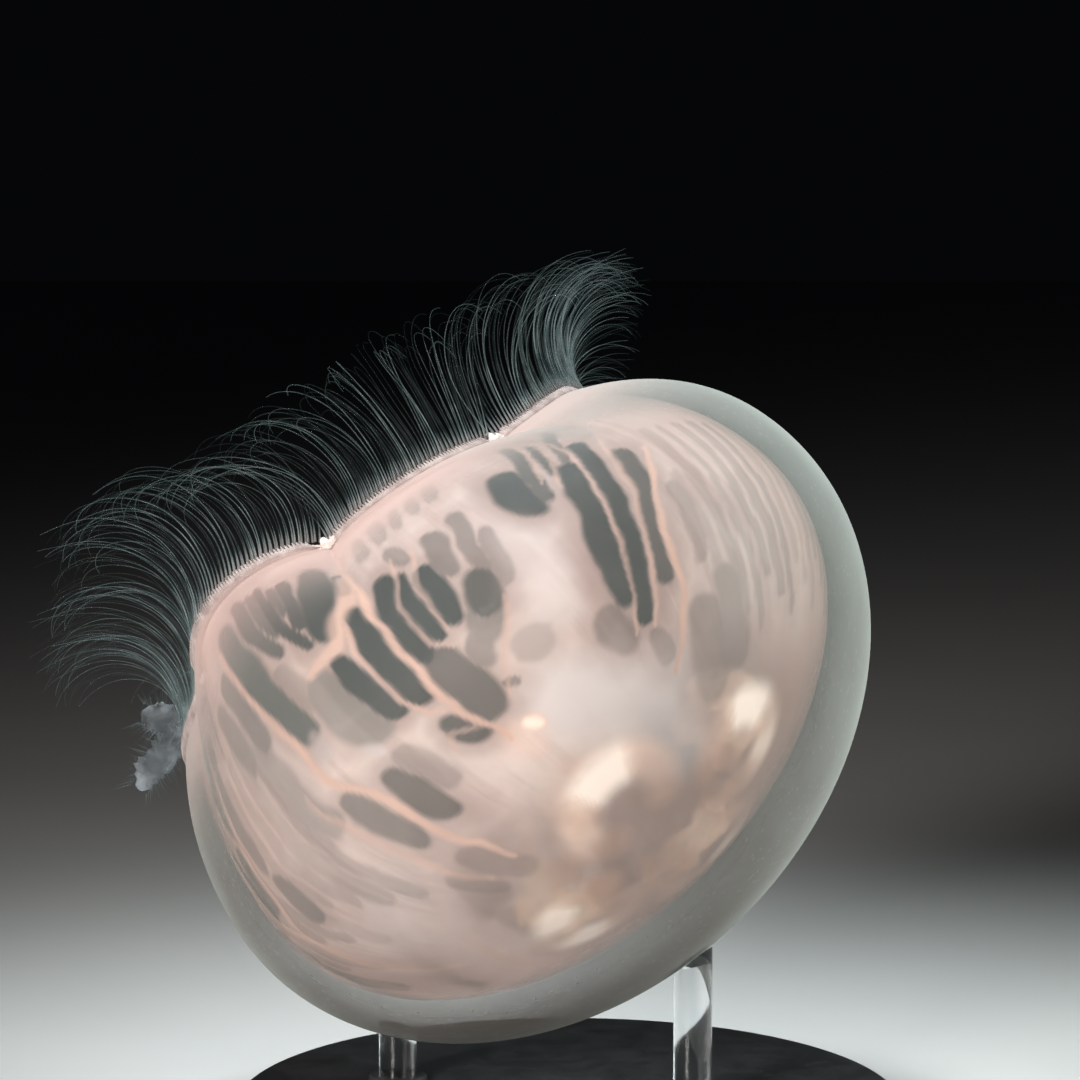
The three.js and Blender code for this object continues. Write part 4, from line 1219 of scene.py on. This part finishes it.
def threadPath(path, tangents, k, index):
    # one thread, away from the edge of a prong and a little ahead
    count, steps = fringe["pathSteps"], fringe["steps"]
    start = fringe["from"]
    share = start + (1 - start) * (k + 0.5 * scatter(index * 5)) / fringe["threads"]
    i = min(count - 1, max(1, int(share * count)))
    side = np.cross(tangents[i], polar(1.0, math.radians(prong["facing"]), 0.0))
    side /= np.linalg.norm(side)
    side *= 1 if k % 2 else -1
    lift = np.cross(side, tangents[i]) * 0.5 * scatter(index * 3)
    late = max(0, share - fringe["endFrom"]) / (1 - fringe["endFrom"])
    ahead = tangents[i] * (0.3 + 1.2 * late)
    length = fringe["length"] * (0.75 + 0.4 * scatter(index * 7))
    edge = fringe["endEdge"] if share > fringe["endEdgeFrom"] else fringe["edge"]
    thread = [path[i] + side * prong["tipWidth"] * edge]
    for j in range(steps):
        curl = np.array([0, 0, 0.5 * scatter(index)]) * j / steps
        step = side + ahead + lift + curl
        thread.append(thread[-1] + step / np.linalg.norm(step) * length / steps)
    return np.array(thread)


def makeFringe(material):
    # thin threads along both edges of the forked arm's prongs
    points = []
    faces = []
    along = []
    tone = []
    sides = fringe["sides"]
    rows = fringe["steps"] + 1
    radii = np.linspace(fringe["rootRadius"], fringe["tipRadius"], rows)
    index = 0
    for line in [line for each in arms for line in each.get("prongs", [])]:
        knots = [polar(radius, math.radians(turn), height) for radius, turn, height in line]
        path = smoothCurve(knots, fringe["pathSteps"])
        tangents = np.gradient(path, axis=0)
        tangents /= np.linalg.norm(tangents, axis=1)[:, None]
        for k in range(fringe["threads"]):
            index += 1
            addTube(points, faces, threadPath(path, tangents, k, index), radii, sides)
            along += list(np.repeat(np.linspace(0.15, 1, rows), sides))
            tone += [0.35 + 0.3 * scatter(index * 11)] * rows * sides
    piece = makePiece("armFringe", np.array(points), faces, [material], ["oral_arm_3_tip"])
    setAttribute(piece.data, "along", along)
    setAttribute(piece.data, "tone", tone)


def makeMouth(material):
    points = []
    faces = []
    addStalk(points, faces)
    for i, each in enumerate(arms):
        addRibbon(points, faces, each["line"], each["facing"], arm, 1.7 * i)
        for k, line in enumerate(each.get("prongs", [])):
            addRibbon(points, faces, line, prong["facing"], prong, 2.4 * k)
    rough = bpy.data.meshes.new("mouthParts")
    rough.from_pydata(posed(points).tolist(), [], faces)
    blank = bpy.data.objects.new("mouthParts", rough)
    bpy.context.collection.objects.link(blank)
    weld = blank.modifiers.new("weld", "REMESH")
    weld.mode = "VOXEL"
    weld.voxel_size = arm["voxel"] * mm
    soften = blank.modifiers.new("soften", "SMOOTH")
    soften.factor = 0.5
    soften.iterations = arm["softening"]
    mesh = bpy.data.meshes.new_from_object(blank.evaluated_get(bpy.context.evaluated_depsgraph_get()))
    bpy.data.objects.remove(blank)
    mesh.name = "mouthAndArms"
    mesh.materials.clear()
    mesh.materials.append(material)
    mesh.shade_smooth()
    corners = np.empty(len(mesh.vertices) * 3)
    mesh.vertices.foreach_get("co", corners)
    upright = (corners.reshape(-1, 3) / mm - np.array(pose["centre"])) @ turnedRows
    setAttribute(mesh, "sheer", smooth((upright[:, 2] - 8) / 9))
    piece = bpy.data.objects.new("mouthAndArms", mesh)
    bpy.context.collection.objects.link(piece)
    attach(piece, "root")
    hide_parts("manubrium", *[f"oral_arm_{i + 1}{end}" for i in range(4) for end in ("", "_tip")])
    print("made mouthAndArms", len(mesh.polygons), "faces")


makeGonads(makeGonadLook())
makeSenseOrgans(makeBeadLook())
makeMouth(makeMouthLook())
makeFringe(threadLook)


stand = {
    "rodRadius": 3, "edge": 1.4, "edgeSteps": 6, "baseSides": 160, "rodSides": 40,
    "collarRadius": 4.6, "collarHeight": 1.1, "collarSides": 48, "bellRoom": 0.6, "sharpAngle": 35,
    "baseShade": (0.030, 0.032, 0.034, 1), "baseLight": (0.042, 0.044, 0.047, 1),
    "rodShade": (0.90, 0.93, 0.94, 1), "rodLight": (0.97, 0.98, 0.98, 1),
}


def makeBaseLook():
    material, tree, shader = newMaterial("satinBase", Coat_Weight=0.15, Coat_Roughness=0.3)
    space = objectSpace(tree)
    clouds = mottle(tree, space, 160.0, 0.3, stand["baseShade"], stand["baseLight"])
    warts = useGroup(tree, fineWarts, Vector=space, Scale=1400.0, Size=0.3)
    tree.links.new(clouds.outputs["Colour"], shader.inputs["Base Color"])
    tree.links.new(remap(tree, clouds.outputs["Mask"], 0.0, 1.0, 0.34, 0.46), shader.inputs["Roughness"])
    bumpInto(tree, shader, warts.outputs["Height"], 0.25, 0.00006)
    return material


def makeRodLook():
    material, tree, shader = newMaterial(
        "clearRod", IOR=1.49, Transmission_Weight=1.0, Specular_IOR_Level=0.5)
    clouds = mottle(tree, objectSpace(tree), 220.0, 0.3, stand["rodShade"], stand["rodLight"])
    tree.links.new(clouds.outputs["Colour"], shader.inputs["Base Color"])
    tree.links.new(remap(tree, clouds.outputs["Mask"], 0.0, 1.0, 0.03, 0.10), shader.inputs["Roughness"])
    return material


def closedLathe(profile, sides, place):
    # a profile of radius and height turned round an upright line, with both ends closed
    turns = np.linspace(0, 2 * math.pi, sides, endpoint=False)
    points = np.concatenate([polar(radius, turns, height) for radius, height in profile])
    points = points + np.array([place[0], place[1], 0.0])
    faces = [face[::-1] for face in gridFaces(len(profile), sides)]
    faces.append(tuple(range(sides)))
    faces.append(tuple(range(len(points) - sides, len(points)))[::-1])
    return points, faces


def sharpenFlat(mesh):
    mesh.set_sharp_from_angle(angle=math.radians(stand["sharpAngle"]))


def makeStand(baseLook, rodLook):
    low, high = (np.array(corner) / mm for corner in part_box("stand_base"))
    radius, top = (high[0] - low[0]) / 2, high[2]
    centre = (low + high)[:2] / 2
    rods = []
    for i in (1, 2):
        rodLow, rodHigh = (np.array(corner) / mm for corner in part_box(f"stand_rod_{i}"))
        rods.append(((rodLow + rodHigh)[:2] / 2, rodLow[2]))
    profile = [(radius - 1.0, 0.0), (radius - 0.4, 0.0), (radius, 0.4)]
    for k in range(stand["edgeSteps"] + 1):
        turn = math.pi / 2 * k / stand["edgeSteps"]
        inward, under = (stand["edge"] * (1 - share) for share in (math.cos(turn), math.sin(turn)))
        profile.append((radius - inward, top - under))
    profile.append((radius - 6.0, top))
    points, faces = closedLathe(profile, stand["baseSides"], centre)
    for place, _ in rods:
        rim, rise = stand["collarRadius"], stand["collarHeight"]
        collar = [(rim, top - 0.5), (rim, top + rise * 0.6), (rim - 0.3, top + rise * 0.9),
                  (rim - 0.8, top + rise), (stand["rodRadius"] + 0.05, top + rise)]
        more, moreFaces = closedLathe(collar, stand["collarSides"], place)
        faces += [tuple(index + len(points) for index in face) for face in moreFaces]
        points = np.concatenate([points, more])
    base = makePiece("displayBase", points * mm, faces, [baseLook], ["stand_base"], True)
    sharpenFlat(base.data)
    for i, (place, bottom) in enumerate(rods):
        points, faces = rodShape(place, bottom)
        rod = makePiece(
            f"displayRod{i + 1}", points * mm, faces, [rodLook], [f"stand_rod_{i + 1}"], True)
        sharpenFlat(rod.data)


def rodShape(place, bottom):
    # a round rod whose top is hollowed to the bell's own curve
    sides = stand["rodSides"]
    turns = np.linspace(0, 2 * math.pi, sides, endpoint=False)
    scale = np.array([bell["radius"], bell["radius"], bell["height"]]) + stand["bellRoom"]
    up = turnedRows.T @ np.array([0, 0, 1.0]) / scale
    points = []
    # rings as share of the radius and height over the rod's foot, or None on the bell's curve
    rings = [(0.88, 0.0), (1.0, 0.36), (1.0, None), (0.66, None), (0.33, None)]
    for share, lift in rings:
        for turn in turns:
            x = place[0] + stand["rodRadius"] * share * math.cos(turn)
            y = place[1] + stand["rodRadius"] * share * math.sin(turn)
            start = turnedRows.T @ (np.array([x, y, 0.0]) - np.array(pose["centre"])) / scale
            a, b, c = up @ up, 2 * start @ up, start @ start - 1
            onBell = (-b - math.sqrt(b * b - 4 * a * c)) / (2 * a)
            points.append((x, y, onBell if lift is None else bottom + lift))
    faces = gridFaces(len(rings), sides)
    faces.append(tuple(range(sides))[::-1])
    last = (len(rings) - 1) * sides
    faces.append(tuple(range(last, last + sides)))
    return np.array(points), faces


makeStand(makeBaseLook(), makeRodLook())


studio = {
    "floorShade": (0.60, 0.60, 0.59, 1), "floorLight": (0.66, 0.66, 0.65, 1),
    "floorReach": 4.0,      # metres
    "background": (0.0016, 0.0018, 0.0022, 1),
}


def makeFloor():
    material, tree, shader = newMaterial("paleFloor", Roughness=0.6)
    clouds = mottle(tree, objectSpace(tree), 9.0, 0.1, studio["floorShade"], studio["floorLight"])
    tree.links.new(clouds.outputs["Colour"], shader.inputs["Base Color"])
    reach = studio["floorReach"]
    corners = [(-reach, -reach, 0), (reach, -reach, 0), (reach, reach, 0), (-reach, reach, 0)]
    mesh = bpy.data.meshes.new("floor")
    mesh.from_pydata(corners, [], [(0, 1, 2, 3)])
    mesh.materials.append(material)
    floor = bpy.data.objects.new("floor", mesh)
    bpy.context.collection.objects.link(floor)


lights = {
    "key": {"place": (-340, -540, 200), "aim": (0, 0, 70), "size": 200, "spread": 60, "power": 0.61,
            "colour": (1.0, 0.96, 0.93)},
    "fill": {"place": (430, -430, 110), "aim": (0, 0, 70), "size": 300, "spread": 70, "power": 0.36,
             "colour": (1.0, 0.95, 0.92)},
    "top": {"place": (-60, 40, 520), "aim": (-10, 10, 80), "size": 160, "spread": 40, "power": 0.18,
            "colour": (0.90, 0.97, 1.0)},
    "rim": {"place": (440, 120, 210), "aim": (10, 0, 75), "size": 180, "spread": 60, "power": 0.24,
            "colour": (0.88, 1.0, 0.97)},
}


def makeLights():
    for name, look in lights.items():
        data = bpy.data.lights.new(name, "AREA")
        data.size = look["size"] * mm
        data.spread = math.radians(look["spread"])
        data.energy = look["power"]
        data.color = look["colour"]
        light = bpy.data.objects.new(name, data)
        light.location = Vector(look["place"]) * mm
        away = Vector(look["place"]) - Vector(look["aim"])
        light.rotation_euler = away.to_track_quat("Z", "Y").to_euler()
        bpy.context.collection.objects.link(light)


def makeWorld():
    world = bpy.data.worlds.new("studio")
    world.use_nodes = True
    background = world.node_tree.nodes["Background"]
    background.inputs["Color"].default_value = studio["background"]
    background.inputs["Strength"].default_value = 1.0
    bpy.context.scene.world = world


makeFloor()
makeLights()
makeWorld()
bpy.context.scene.view_settings.view_transform = "Standard"
print("stage and light set")
